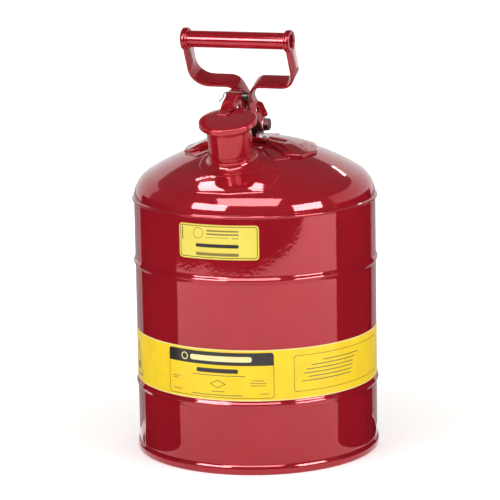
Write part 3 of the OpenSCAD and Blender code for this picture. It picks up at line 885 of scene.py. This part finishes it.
def build_saddle():
    plate = rounded(mirrored(WING), 2.5, 4)
    holes = []
    for s in (-1, 1):
        holes += [
            circle(s * 73, 4, 1.8, 20), circle(s * 72.5, -19.7, 1.8, 20), circle(s * 65.6, -14, 1.5, 20)
        ]
        slot = slot_outline(*SLOT_X, SLOT_Y, SLOT_R)
        holes.append([(s * x, y) for x, y in slot])
    bm = slab(plate, holes, 0, 3.15, 0.5, 2)
    grid_cut(bm, 0, -83, 83, 1.25)
    grid_cut(bm, 1, -48, 31, 1.25)
    groove = slot_outline(*SLOT_X, SLOT_Y, SLOT_R + 1.5)
    for v in bm.verts:
        x, y, z = v.co
        ax = abs(x)
        high = 2.9 * step_up(inside((ax, y), BAR), 1.7) * (1 - 0.93 * step_up(ax - 62, 18))
        high *= 1 - 0.45 * step_up(inside((ax, y), groove), 1.6)
        flat = step_up(24.6 - ax, 2.6)
        r = CROWN_R + 1.05 + z + high
        if z < 0.6:
            depth = inside((x, y), plate)
            r = CROWN_R + 1.05 + 1.35 * step_up(depth - 2.4, 2.0) + high * step_up(depth - 2, 2)
        domed = Vector((x, y, CROWN_Z + sqrt(r * r - x * x - y * y)))
        level = Vector((x, y, PLATFORM_Z if z > 2.6 else PLATFORM_Z - 3 + z * 0.9))
        v.co = domed.lerp(level, flat)
    finish_piece("saddle", bm, "fitting_paint", "can", ("saddle_plate",), 40)

    # painted shade: a thin near-black sheet on the pad under each slot stands for the shade inside the slot
    slot_shades = []
    for s in (-1, 1):
        slot_shade = slot_outline(29, 44, SLOT_Y, 5.0)
        slot_shades.append(slab([(s * x, y) for x, y in slot_shade], [], 1.15, 1.7, 0.1, 1))
    bm = merge(*slot_shades)
    for v in bm.verts:
        x, y, z = v.co
        v.co = Vector((x, y, CROWN_Z + sqrt((CROWN_R + z) ** 2 - x * x - y * y)))
    finish_piece("saddle_slot_shade", bm, "painted_shade_black", "can", (), 40)

    pad = rounded(mirrored([(31, -49), (49, -66), (64, -52), (77, -32), (80, 4), (68, 34), (46, 40)]), 2.0, 3)
    bm = slab(pad, [], 0, 1.0, 0.3, 2)
    grid_cut(bm, 0, -78, 78, 3.0)
    grid_cut(bm, 1, -64, 39, 3.0)
    centre = FLANGE @ Vector((0, 0, 0))
    for v in bm.verts:
        x, y, z = v.co
        off = Vector((x - centre.x, y - centre.y))
        if off.length < FLANGE_R - 4:
            grow = max(off.length, 1e-3)
            x = centre.x + off.x * (FLANGE_R - 4) / grow
            y = centre.y + off.y * (FLANGE_R - 4) / grow
        r = CROWN_R + 0.05 + z
        v.co = Vector((x, y, CROWN_Z + sqrt(r * r - x * x - y * y)))
    finish_piece("saddle_pad", bm, "fitting_paint", "can", ("dome_pad",), 40)

    heads = []
    for x in SCREW_X:
        washer = slab(circle(0, 0, 4.8, 48), [], 2.0, 2.8, 0.25)
        head = moved(hex_prism(8, 3.6), 0, 0, 2.8)
        shank = lathe([(0, -1.2), (2.9, -1.2), (2.9, 2.1), (0, 2.1)], 32, closed=False)
        heads.append(moved(merge(washer, head, shank), x, SCREW_Y, PLATFORM_Z))
    finish_piece("saddle_bolts", merge(*heads), "zinc", "can", ("saddle_screws",), 30)


def build_yoke():
    side = [(-9, PLATFORM_Z), (13, PLATFORM_Z)]
    side += [
        (PIVOT.y + 9.9 * cos(a), PIVOT.z + 9.9 * sin(a)) for a in [radians(x) for x in range(-5, 190, 10)]
    ]
    hole = circle(PIVOT.y, PIVOT.z, BOLT_R + 0.1, 32)
    walls = [side_plate(side, [hole], x, x + BRACKET_T, 0.4) for x in (-YOKE_HALF, YOKE_HALF - BRACKET_T)]
    floor = slab(
        [(-YOKE_HALF, -9), (YOKE_HALF, -9), (YOKE_HALF, 13), (-YOKE_HALF, 13)], [], PLATFORM_Z,
        PLATFORM_Z + 2.2, 0.4
    )
    web = side_plate(
        [(-9, PLATFORM_Z), (-7, PLATFORM_Z), (-7, PLATFORM_Z + 9), (-9, PLATFORM_Z + 9)], [], -YOKE_HALF,
        YOKE_HALF, 0.4
    )
    # painted shade: the yoke and its front web are near black to stand for the shade and dark reflections
    # below the strap legs
    finish_piece("pivot_yoke", merge(*walls, floor, web), "painted_shade_black", "can", ("handle_yoke",), 35)

    head_x = LEG_OUT + 1.6
    shank = [(0, -head_x - 9), (BOLT_R - 0.7, -head_x - 9), (BOLT_R, -head_x - 8.2)]
    z = -head_x - 8.2
    while z < -head_x - 0.8:
        shank += [(BOLT_R, z + 0.2), (BOLT_R - 0.35, z + 0.6)]
        z += 1.0
    shank += [(BOLT_R, -head_x), (BOLT_R, head_x), (0, head_x)]
    bolt = lathe(shank, 48, closed=False)
    head = moved(hex_prism(14, 6), 0, 0, head_x)
    cap = lathe([(0, 0), (5, 0), (4.8, 0.4), (4.2, 0.5), (0, 0.5)], 48, closed=False)
    bolt = merge(bolt, head, moved(cap, 0, 0, head_x + 6))
    finish_piece("pivot_bolt", turned(bolt, PIVOT, (1, 0, 0)), "dark_bolt", "can", ("handle_bolt",), 30)
    rings = [
        slab(
            circle(0, 0, 8.6, 64), [circle(0, 0, BOLT_R + 0.03, 40)], x, x + 1.6, 0.4
        ) for x in (LEG_OUT, -head_x)
    ]
    finish_piece(
        "pivot_washers", turned(merge(*rings), PIVOT, (1, 0, 0)), "zinc", "can", ("handle_bolt_washers",), 35
    )
    nut = drilled(hex_prism(14, 6.6), [(BOLT_R + 0.05, (0, 0, -1), (0, 0, 8))])
    finish_piece(
        "pivot_nut", turned(nut, PIVOT + Vector((-head_x, 0, 0)), (-1, 0, 0)), "zinc", "can",
        ("handle_bolt_nut",), 30
    )
    half = YOKE_HALF - BRACKET_T
    sleeve = lathe(
        rounded([(BOLT_R + 0.03, -half), (6.5, -half), (6.5, half), (BOLT_R + 0.03, half)], 0.4), 48
    )
    finish_piece("spacer_sleeve", turned(sleeve, PIVOT, (1, 0, 0)), "zinc", "can", ("pivot_sleeve",), 40)


# ---- handle ----

BEND = {1: 17.0, -1: 23.0}
SHOULDER_R, SHOULDER_TURN = 15.5, 68.0
BAND_MID, WAIST_Z, FOOT_TOP = 62.5, 36.0, 9.0


def between(a, b, steps, count):
    """Points on the straight way from a to b, which is cut into equal steps."""
    parts = [i / steps for i in range(1, count + 1)]
    return [(a[0] + (b[0] - a[0]) * t, a[1] + (b[1] - a[1]) * t) for t in parts]


def strap_path(side):
    """Centreline of one strap in the handle's plane, from its eye down to its foot."""
    bend = BEND[side] - STRAP_T / 2
    mid_x = STRAP_HALF - STRAP_T / 2
    s, c = sin(radians(SHOULDER_TURN)), cos(radians(SHOULDER_TURN))
    shoulder = SHOULDER_R - STRAP_T / 2
    shoulder_z = BAND_MID - shoulder
    inner = SHOULDER_R - STRAP_T
    run = (shoulder_z + inner * c - WAIST_Z) / s
    shoulder_x = STRAP_T / s + run * c + inner * s
    line = []
    at = GRIP_REACH + STRAP_W / 2 + 0.9
    while at > BAND_MID + bend:
        line.append((mid_x, at))
        at -= 0.8 if at > GRIP_REACH else 3.0
    line += arc(mid_x - bend, BAND_MID + bend, bend, 0, -90, 16)
    line += between((mid_x - bend, BAND_MID), (shoulder_x, BAND_MID), 8, 7)
    line += arc(shoulder_x, shoulder_z, shoulder, 90, 90 + SHOULDER_TURN, 14)
    waist = (STRAP_T / 2 + 0.1, WAIST_Z - 1.5)
    line += between(line[-1], waist, 6, 6)
    foot = (LEG_OUT - STRAP_T / 2, FOOT_TOP)
    line += between(waist, foot, 12, 12)
    at = FOOT_TOP - 1.0
    while at > -8.9:
        line.append((foot[0], at))
        at -= 0.8
    line.append((foot[0], -8.95))
    # a little smoothing where two straight runs meet
    for _ in range(2):
        line = [line[0]] + [
            (
                (a[0] + 2 * b[0] + d[0]) / 4, (a[1] + 2 * b[1] + d[1]) / 4
            ) for a, b, d in zip(line, line[1:], line[2:])
        ] + [line[-1]]
    return [(side * x, z) for x, z in line]


def strap_reach(z):
    """Half width of the strap at height z."""
    half = STRAP_W / 2
    if z > GRIP_REACH - 5:
        d = z - GRIP_REACH
        round_eye = sqrt(max(0.0, (half + 1) ** 2 - d * d))
        return max(0.6, round_eye if d > 0 else max(half, round_eye))
    if z > 30:
        return half
    if z > 1:
        return 8.9 + (half - 8.9) * (z - 1) / 29
    return max(0.6, sqrt(max(0.0, 81 - min(0.0, z) ** 2)))


def build_strap(side):
    path = strap_path(side)
    bm = bmesh.new()
    rings = []
    h = STRAP_T / 2
    e = 0.7
    for i, (x, z) in enumerate(path):
        a = Vector(path[max(i - 1, 0)])
        b = Vector(path[min(i + 1, len(path) - 1)])
        along = (b - a).normalized()
        out = Vector((-along.y, along.x))
        w = strap_reach(z)
        section = [(w - e, h), (w - 0.2, h - 0.2), (w, h - e), (w, e - h), (w - 0.2, 0.2 - h), (w - e, -h)]
        section += [(0, -h)] + [(-p, -q) for p, q in section] + [(0, h)]
        rings.append([bm.verts.new((x + out.x * q, p, z + out.y * q)) for p, q in section])
    skin(bm, rings)
    bmesh.ops.recalc_face_normals(bm, faces=bm.faces)
    reach = side * 80.0
    rods = [
        (GRIP_R + 0.05, (side * 40, 0, GRIP_REACH), (reach, 0, GRIP_REACH)),
        (BOLT_R + 0.1, (side * 5, 0, 0), (side * 20, 0, 0)),
        (3.4, (side * 1, 0, 20.5), (side * 20, 0, 20.5)),
    ]
    # the back edge of the leg is folded outwards
    fold = [
        (9.8, 6), (LEG_OUT + 2.6, 6), (LEG_OUT + 4, 8), (LEG_OUT + 4, 10), (LEG_OUT - 0.5, 24),
        (LEG_OUT - 5.5, 26), (4.4, 26), (9.8, 10)
    ]
    fold = slab(rounded([(side * x, z) for x, z in fold], 1.2, 3), [], -9.5, -7.1, 0.5)
    fold.transform(Matrix(((1, 0, 0, 0), (0, 0, -1, 0), (0, 1, 0, 0), (0, 0, 0, 1))))
    for v in fold.verts:
        v.co.y += 0.125 * (v.co.z - 6)
    hand = "right" if side > 0 else "left"
    bm = merge(drilled(bm, rods), fold)
    finish_piece(hand + "_strap", bm, "handle_paint", "handle", (hand + "_handle_strap",), 35, HANDLE)


def build_handle():
    for side in (1, -1):
        build_strap(side)
    outer = STRAP_T
    rivet = [(0, -outer - 1.5), (2.2, -outer - 1.4), (3.6, -outer - 0.8), (4.0, -outer - 0.1), (4.0, -outer)]
    rivet += [
        (2.4, -outer), (2.4, outer), (4.0, outer), (4.0, outer + 0.1), (3.6, outer + 0.8), (2.2, outer + 1.4),
        (0, outer + 1.5)
    ]
    bm = turned(lathe(rivet, 40, closed=False), (0, 0, WAIST_Z - 1.5), (1, 0, 0))
    finish_piece("strap_rivet", bm, "handle_paint", "handle", ("waist_rivet",), 50, HANDLE)

    half = STRAP_HALF
    r = GRIP_R
    right = [
        (r, half + 0.1), (r + 1.6, half + 0.1), (r + 2.8, half + 0.4), (r + 3.2, half + 1.0),
        (r + 2.9, half + 1.7), (r + 2.0, half + 2.0)
    ]
    right += [(r - 0.6, half + 1.9), (r - 1.6, half + 1.2), (r - 2.0, half - 0.4)]
    left = [(p, -q) for p, q in reversed(right)]
    swell = [(r, z) for z in (-60, -40, -20, 0, 20, 40, 60)]
    grip = lathe(left + swell + right, 128)
    finish_piece(
        "grip", turned(grip, (0, 0, GRIP_REACH), (1, 0, 0)), "handle_paint", "handle", ("grip_tube",), 40,
        HANDLE
    )
    rings = []
    for s in (-1, 1):
        start = s * (half - STRAP_T - 1.2)
        ring = [
            (p + r + 1.3, q + start) for p,
            q in [
                (-1.25, -1.2), (0.4, -1.2), (1.2, -0.9), (1.65, -0.3), (1.65, 0.3), (1.2, 0.9), (0.4, 1.2),
                (-1.25, 1.2)
            ]
        ]
        rings.append(lathe(ring, 96))
    finish_piece(
        "grip_rings", turned(merge(*rings), (0, 0, GRIP_REACH), (1, 0, 0)), "handle_paint", "handle",
        ("grip_collars",), 40, HANDLE
    )


# ---- labels ----


def wrap(bm, r):
    """Wraps a flat piece, drawn as (arc length, height, lift), round the can."""
    for v in bm.verts:
        a = v.co.x / WALL_R
        q = r + v.co.z
        v.co = Vector((q * sin(a), -q * cos(a), v.co.y))


def film_piece(name, outline, holes, lift, thick, look, nodes=()):
    bm = slab(outline, holes, 0, thick, min(0.06, thick / 3), 1)
    xs = [v.co.x for v in bm.verts]
    grid_cut(bm, 0, floor(min(xs)) + 0.5, max(xs), 2.5)
    wrap(bm, WALL_R + lift)
    finish_piece(name, bm, look, "can", nodes, 35)


def box_outline(x0, x1, y0, y1, r):
    return rounded([(x0, y0), (x1, y0), (x1, y1), (x0, y1)], r, 6)


def arc_mm(degrees):
    return radians(degrees) * WALL_R


def frame_line(name, x0, x1, y0, y1, r, wide, lift, look):
    outer = box_outline(x0, x1, y0, y1, r)
    inner = box_outline(x0 + wide, x1 - wide, y0 + wide, y1 - wide, max(0.3, r - wide))
    film_piece(name, outer, [inner], lift, INK_T, look)


def rule_set(name, lines, lift, look):
    """Plain rules that stand where a label has its print: (x0, x1, y, height)."""
    parts = []
    for x0, x1, y, h in lines:
        bm = slab(box_outline(x0, x1, y, y + h, h / 2.2), [], 0, INK_T, 0.015, 1)
        grid_cut(bm, 0, x0 + 0.5, x1, 2.5)
        parts.append(bm)
    bm = merge(*parts)
    wrap(bm, WALL_R + lift)
    finish_piece(name, bm, look, "can", (), 35)


def hoop(name, z0, z1, foot, top, slope, look, nodes=()):
    """A film all the way round the can, from z0 to z1."""
    line = [(WALL_R + foot, z0), (WALL_R + top, z0 + slope)]
    line += [(WALL_R + top, z1 - slope), (WALL_R + foot, z1)]
    finish_piece(name, lathe(line, 360, closed=False, ripple=side_seam), look, "can", nodes, 35)


def build_band():
    low, high = BAND_Z
    hoop("band_film_wrap", low, high, 0.02, FILM_TOP, 0.05, "band_film", ("band_label",))
    for name, z in (("band_edge_low", low + 0.1), ("band_edge_high", high - 1.2)):
        hoop(name, z, z + 1.1, 0.26, 0.29, 0.1, "pale_ink")
    lift = PRINT_LIFT
    x0, x1 = arc_mm(-25.3), arc_mm(27.4)
    y0, y1 = BAND_Z[0] + 3.4, BAND_Z[1] - 3.4
    head = y1 - 15.5
    frame_line("panel_line", x0, x1, y0, y1, 4.0, 0.55, lift, "ink")
    top = [(x0, head), (x1, head)] + arc(x1 - 4, y1 - 4, 4, 0, 90, 6) + arc(x0 + 4, y1 - 4, 4, 90, 180, 6)
    film_piece("panel_header", top, [], lift, 0.06, "ink")
    mid = (x0 + x1) / 2
    rule_set("header_rules", [(x0 + 32, x1 - 26, head + 4.2, 6.6)], lift + 0.07, "pale_ink")
    film_piece(
        "header_spot", circle(x0 + 24, head + 7.6, 4.6, 40), [circle(x0 + 24, head + 7.6, 3.4, 40)],
        lift + 0.07, INK_T, "pale_ink"
    )
    rule_set("title_rule", [(mid - 27, mid + 25, head - 9.6, 5.2)], lift, "ink")
    small = [(mid - 33, mid + 33, head - 13.2, 1.0)]
    for i, wide in enumerate((11, 8)):
        small.append((x0 + 6, x0 + 6 + wide, head - 18.5 - 2.6 * i, 0.9))
    small.append((x0 + 6, x0 + 19, y0 + 5.6, 0.9))
    for i, wide in enumerate((14, 20, 18)):
        small.append((x1 - 19 - wide / 2, x1 - 19 + wide / 2, head - 18.5 - 3.0 * i, 0.9))
    small.append((mid - 8, mid + 8, y0 + 7.0, 0.9))
    small.append((mid - 34, mid + 30, y0 + 2.6, 1.1))
    small.append((x1 - 17, x1 - 6, y0 + 5.0, 0.8))
    rule_set("panel_rules", small, lift, "grey_ink")
    sign = [(mid - 10, y0 + 16.6), (mid, y0 + 11.6), (mid + 10, y0 + 16.6), (mid, y0 + 21.6)]
    inner = [(mid - 8.6, y0 + 16.6), (mid, y0 + 12.4), (mid + 8.6, y0 + 16.6), (mid, y0 + 20.8)]
    film_piece("panel_diamond", sign, [inner], lift, INK_T, "ink")

    rx0, rx1 = arc_mm(36.8), arc_mm(96.0)
    ry0, ry1 = BAND_Z[0] + 9.0, BAND_Z[1] - 9.0
    frame_line("side_line", rx0, rx1, ry0, ry1, 4.0, 0.5, lift, "ink")
    lines = []
    for i, (a, b) in enumerate(((46, 76), (30, 70), (24, 66), (20, 66), (26, 64), (18, 62))):
        lines.append((rx0 + a - 8, rx0 + b + 20, ry1 - 9 - 4.6 * i, 1.2))
    rule_set("side_rules", lines, lift, "grey_ink")

    tx = arc_mm(-57.0)
    tri = [(tx - 16, y0 + 4), (tx + 14, y0 + 4), (tx - 1, y0 + 46)]
    hole = [(tx - 13.6, y0 + 5.4), (tx + 11.8, y0 + 5.4), (tx - 1, y0 + 41.6)]
    film_piece("side_triangle", tri, [hole], lift, INK_T, "ink")
    film_piece("side_spot", box_outline(tx - 5, tx + 3, y0 + 11, y0 + 21, 2.0), [], lift, INK_T, "ink")


def build_spec():
    x0, x1 = arc_mm(SPEC_AZ[0]), arc_mm(SPEC_AZ[1])
    y0, y1 = SPEC_Z
    film_piece("spec_plate", box_outline(x0, x1, y0, y1, 5.0), [], 0.0, 0.2, "spec_film", ("spec_label",))
    lift = 0.2
    frame_line("spec_line", x0 + 1.7, x1 - 1.7, y0 + 1.7, y1 - 1.7, 3.8, 0.75, lift, "ink")
    mid = (x0 + x1) / 2
    film_piece(
        "spec_ring", circle(x0 + 26, y1 - 10.5, 6.6, 40), [circle(x0 + 26, y1 - 10.5, 5.9, 40)], lift, 0.04,
        "grey_ink"
    )
    dark = [(mid - 27, mid + 26, y0 + 14.0, 4.2), (mid - 27, mid + 26, y0 + 4.2, 3.6)]
    pale = [
        (mid - 13, mid + 26, y1 - 8.2, 1.9), (mid - 13, mid + 26, y1 - 12.2, 1.9),
        (mid - 14, mid + 14, y1 - 15.6, 0.6), (mid + 18, mid + 26, y1 - 16.0, 1.0)
    ]
    rule_set("spec_rules", dark[:1], lift, "ink")
    rule_set("spec_rules_pale", pale + dark[1:], lift, "grey_ink")
    side = slab(box_outline(x0 + 4.2, x0 + 5.4, y0 + 22, y1 - 4, 0.4), [], 0, 0.04, 0.01, 1)
    wrap(side, WALL_R + lift)
    finish_piece("spec_side_rule", side, "ink", "can", (), 35)


build_body()
build_dome()
build_spout()
build_lid()
build_arm()
build_hinge()
build_saddle()
build_yoke()
build_handle()
build_band()
build_spec()

# ---- floor and light, in metres ----

LIGHT_AIM = 0.33
CARD_HIGH = 0.33
CARD_ROUND = 0.05
FLOOR_GAP = 0.002


def studio_paint(name, colour, glow, glow_far=None):
    """Matt studio white, with a glow that may grow with the distance from the can."""
    n = Nodes(name)
    base = n.ramp(n.noise(2.0, 2.0), [(0.3, tuple(c * 0.985 for c in colour)), (0.7, colour)])
    n.set(Base_Color=base, Roughness=0.7, Specular_IOR_Level=0.0, Emission_Color=(1, 1, 1, 1))
    if glow_far is None:
        return n.set(Emission_Strength=glow)
    length = n.new("ShaderNodeVectorMath", operation="LENGTH")
    n.link(n.place, length.inputs[0])
    return n.set(Emission_Strength=n.spread(length.outputs["Value"], glow, glow_far, 0.25, 1.6))


def stage_piece(name, data, material, seen):
    """Adds a studio sheet. seen names the kinds of ray that meet it."""
    data.materials.append(material)
    sheet = link_object(name, data)
    for kind in ("camera", "diffuse", "glossy"):
        setattr(sheet, "visible_" + kind, kind in seen)
    if "camera" not in seen:
        sheet.visible_shadow = False
    return sheet


def stage_sheet(name, corners, material, seen=("camera", "diffuse", "glossy")):
    data = bpy.data.meshes.new(name)
    data.from_pydata([Vector(c) for c in corners], [], [list(range(len(corners)))])
    return stage_piece(name, data, material, seen)


def world_point(turn, distance, height):
    """A place by its turn from the front towards +X, in degrees."""
    a = radians(turn)
    return Vector((distance * sin(a), -distance * cos(a), height))


def panel(name, turn, rise, distance, wide, high, radiance, glossy=True, diffuse=True):
    """A soft box that faces the can. radiance is what it looks like in a mirror."""
    data = bpy.data.lights.new(name, "AREA")
    data.shape = "RECTANGLE"
    data.size, data.size_y = wide, high
    data.energy = radiance * pi * wide * high
    light = link_object(name, data)
    goal = Vector((0, 0, LIGHT_AIM))
    e = radians(rise)
    spot = goal + world_point(turn, distance * cos(e), distance * sin(e))
    light.matrix_world = Matrix.Translation(spot) @ (spot - goal).to_track_quat("Z", "Y").to_matrix().to_4x4()
    light.visible_camera = False
    light.visible_glossy = glossy
    light.visible_diffuse = diffuse


def backdrop(name, turns, distance, low, high, material, seen):
    """A tall curved sheet round part of the studio."""
    bm = bmesh.new()
    rows = []
    for z in (low, high):
        rows.append([bm.verts.new(world_point(a, distance, z)) for a in turns])
    for i in range(len(turns) - 1):
        bm.faces.new((rows[0][i], rows[0][i + 1], rows[1][i + 1], rows[1][i]))
    stage_piece(name, to_mesh(name, bm), material, seen)


FLOOR_WHITE = studio_paint("floor_white", (0.80, 0.80, 0.80), 0.42, 1.0)
SKY_WHITE = studio_paint("sky_white", (0.0, 0.0, 0.0), 1.0)
BACK_WHITE = studio_paint("back_white", (0.0, 0.0, 0.0), 0.8)
FLOOR_GREY = studio_paint("floor_grey", (0.0, 0.0, 0.0), 0.35)
BLACK = studio_paint("studio_black", (0.01, 0.01, 0.01), 0.0)

stage_sheet("floor", [(x * 14, y * 14, 0.0) for x, y in ((-1, -1), (1, -1), (1, 1), (-1, 1))], FLOOR_WHITE)
backdrop("white_surround", range(0, 361, 10), 13.0, -1.0, 14.0, SKY_WHITE, ("camera",))
backdrop("white_back", range(100, 261, 8), 5.0, 0.0, 3.2, BACK_WHITE, ("glossy",))

# what lies beyond the lit floor in front, seen only in the gloss
near = [
    (-1.6, 0.2), (-1.2, -0.6), (-0.6, -1.15), (0.0, -1.23), (0.551, -1.153), (0.807, -1.064), (1.02, -0.971)
]
near += [(1.202, -0.873), (1.362, -0.789), (1.55, -0.72), (1.9, -0.5), (2.2, 0.1), (2.3, 0.9)]
far = [(12, 0.9), (12, -12), (-12, -12), (-12, 0.2)]
stage_sheet("dark_floor", [(x, y, FLOOR_GAP) for x, y in near + far], BLACK, ("glossy",))

CARDS = [((0.254, -0.046), (0.185, 0.143)), ((-0.162, -0.201), (-0.219, -0.044))]
# dark cards close to the can draw the dark stripes in its wall
for i, (a, b) in enumerate(CARDS):
    a, b = Vector((*a, FLOOR_GAP)), Vector((*b, FLOOR_GAP))
    up = Vector((0, 0, CARD_HIGH))
    stage_sheet(f"dark_card_{i}", [a, b, b + up, a + up], BLACK, ("glossy",))
    wide = (b - a).length
    inward = Vector((a.y - b.y, b.x - a.x, 0)).normalized()
    inward *= 1 if inward.dot(a + b) < 0 else -1
    outline = [(0, 0)] + arc(CARD_ROUND, 0.012, CARD_ROUND, 180, 90, 6)
    outline += arc(wide - CARD_ROUND, 0.012, CARD_ROUND, 90, 0, 6) + [(wide, 0)]
    stage_sheet(
        f"dark_card_foot_{i}", [a.lerp(b, u / wide) + v * inward for u, v in outline], BLACK, ("glossy",)
    )

# the floor behind the can is dimmer than the floor in front of it
sector = [world_point(t, 0.152, 0.0015) for t in range(130, 271, 10)]
sector += [world_point(t, 4.0, 0.0015) for t in range(270, 129, -10)]
stage_sheet("grey_floor", sector, FLOOR_GREY, ("glossy",))

# roof lights, seen only in the gloss of the dome
ROOF_WHITE = studio_paint("roof_white", (0.0, 0.0, 0.0), 12.0)
ROOF_LINE = studio_paint("roof_line", (0.0, 0.0, 0.0), 9.0)
LEFT_PANE = [
    (-1.053, 0.625, 2.145), (-0.873, 0.578, 2.249), (-0.702, 0.485, 2.342), (-0.58, -0.178, 2.461),
    (-1.095, -0.218, 2.258)
]
RIGHT_PANE = [
    (-0.451, 0.62, 2.372), (-0.166, 0.693, 2.391), (-0.063, 0.555, 2.441), (0.188, -0.04, 2.537),
    (-0.016, -0.081, 2.541), (-0.272, 0.417, 2.457)
]
BACK_EDGE = [(-1.121, 0.763, 2.049), (-0.197, 0.732, 2.374), (-0.181, 0.688, 2.392), (-1.117, 0.712, 2.074)]
FRONT_EDGE = [
    (-1.203, -0.376, 2.181), (-0.431, -0.625, 2.437), (0.252, -0.19, 2.531), (0.314, -0.335, 2.515),
    (-0.408, -0.783, 2.398), (-1.218, -0.518, 2.146)
]
SIDE_BAR = [(0.176, 1.869, 1.476), (0.154, 1.91, 1.412), (0.354, 1.882, 1.425), (0.395, 1.824, 1.503)]
dome_only = bpy.data.collections.new("dome_only")
dome_only.objects.link(bpy.data.objects["domed_top"])
ROOF = [("left_pane", LEFT_PANE, ROOF_WHITE), ("right_pane", RIGHT_PANE, ROOF_WHITE)]
ROOF += [
    ("back_edge", BACK_EDGE, ROOF_LINE), ("front_edge", FRONT_EDGE, ROOF_LINE),
    ("side_bar", SIDE_BAR, ROOF_LINE)
]
for name, pane, paint in ROOF:
    sheet = stage_sheet(name, pane, paint, ("glossy",))
    sheet.light_linking.receiver_collection = dome_only

panel("window_left", -24, 19, 2.0, 1.15, 0.68, 17.0, diffuse=False)
panel("window_right", 70, 13, 2.0, 1.0, 0.66, 17.0, diffuse=False)
panel("fill_left", -35, 25, 2.4, 1.4, 1.2, 4.8, glossy=False)
panel("fill_right", 75, 22, 2.4, 1.4, 1.2, 4.6, glossy=False)
panel("front_box", 13, 42, 2.2, 2.1, 1.1, 8.0, diffuse=False)
panel("overhead", 20, 82, 2.4, 2.4, 2.4, 1.5, glossy=False)
panel("back_fill", 190, 40, 3.0, 3.0, 1.5, 1.6, glossy=False)

world = bpy.data.worlds.new("studio")
world.use_nodes = True
background = world.node_tree.nodes["Background"].inputs
background["Color"].default_value = (1, 1, 1, 1)
background["Strength"].default_value = 0.12
scene.world = world
scene.view_settings.view_transform = "Standard"
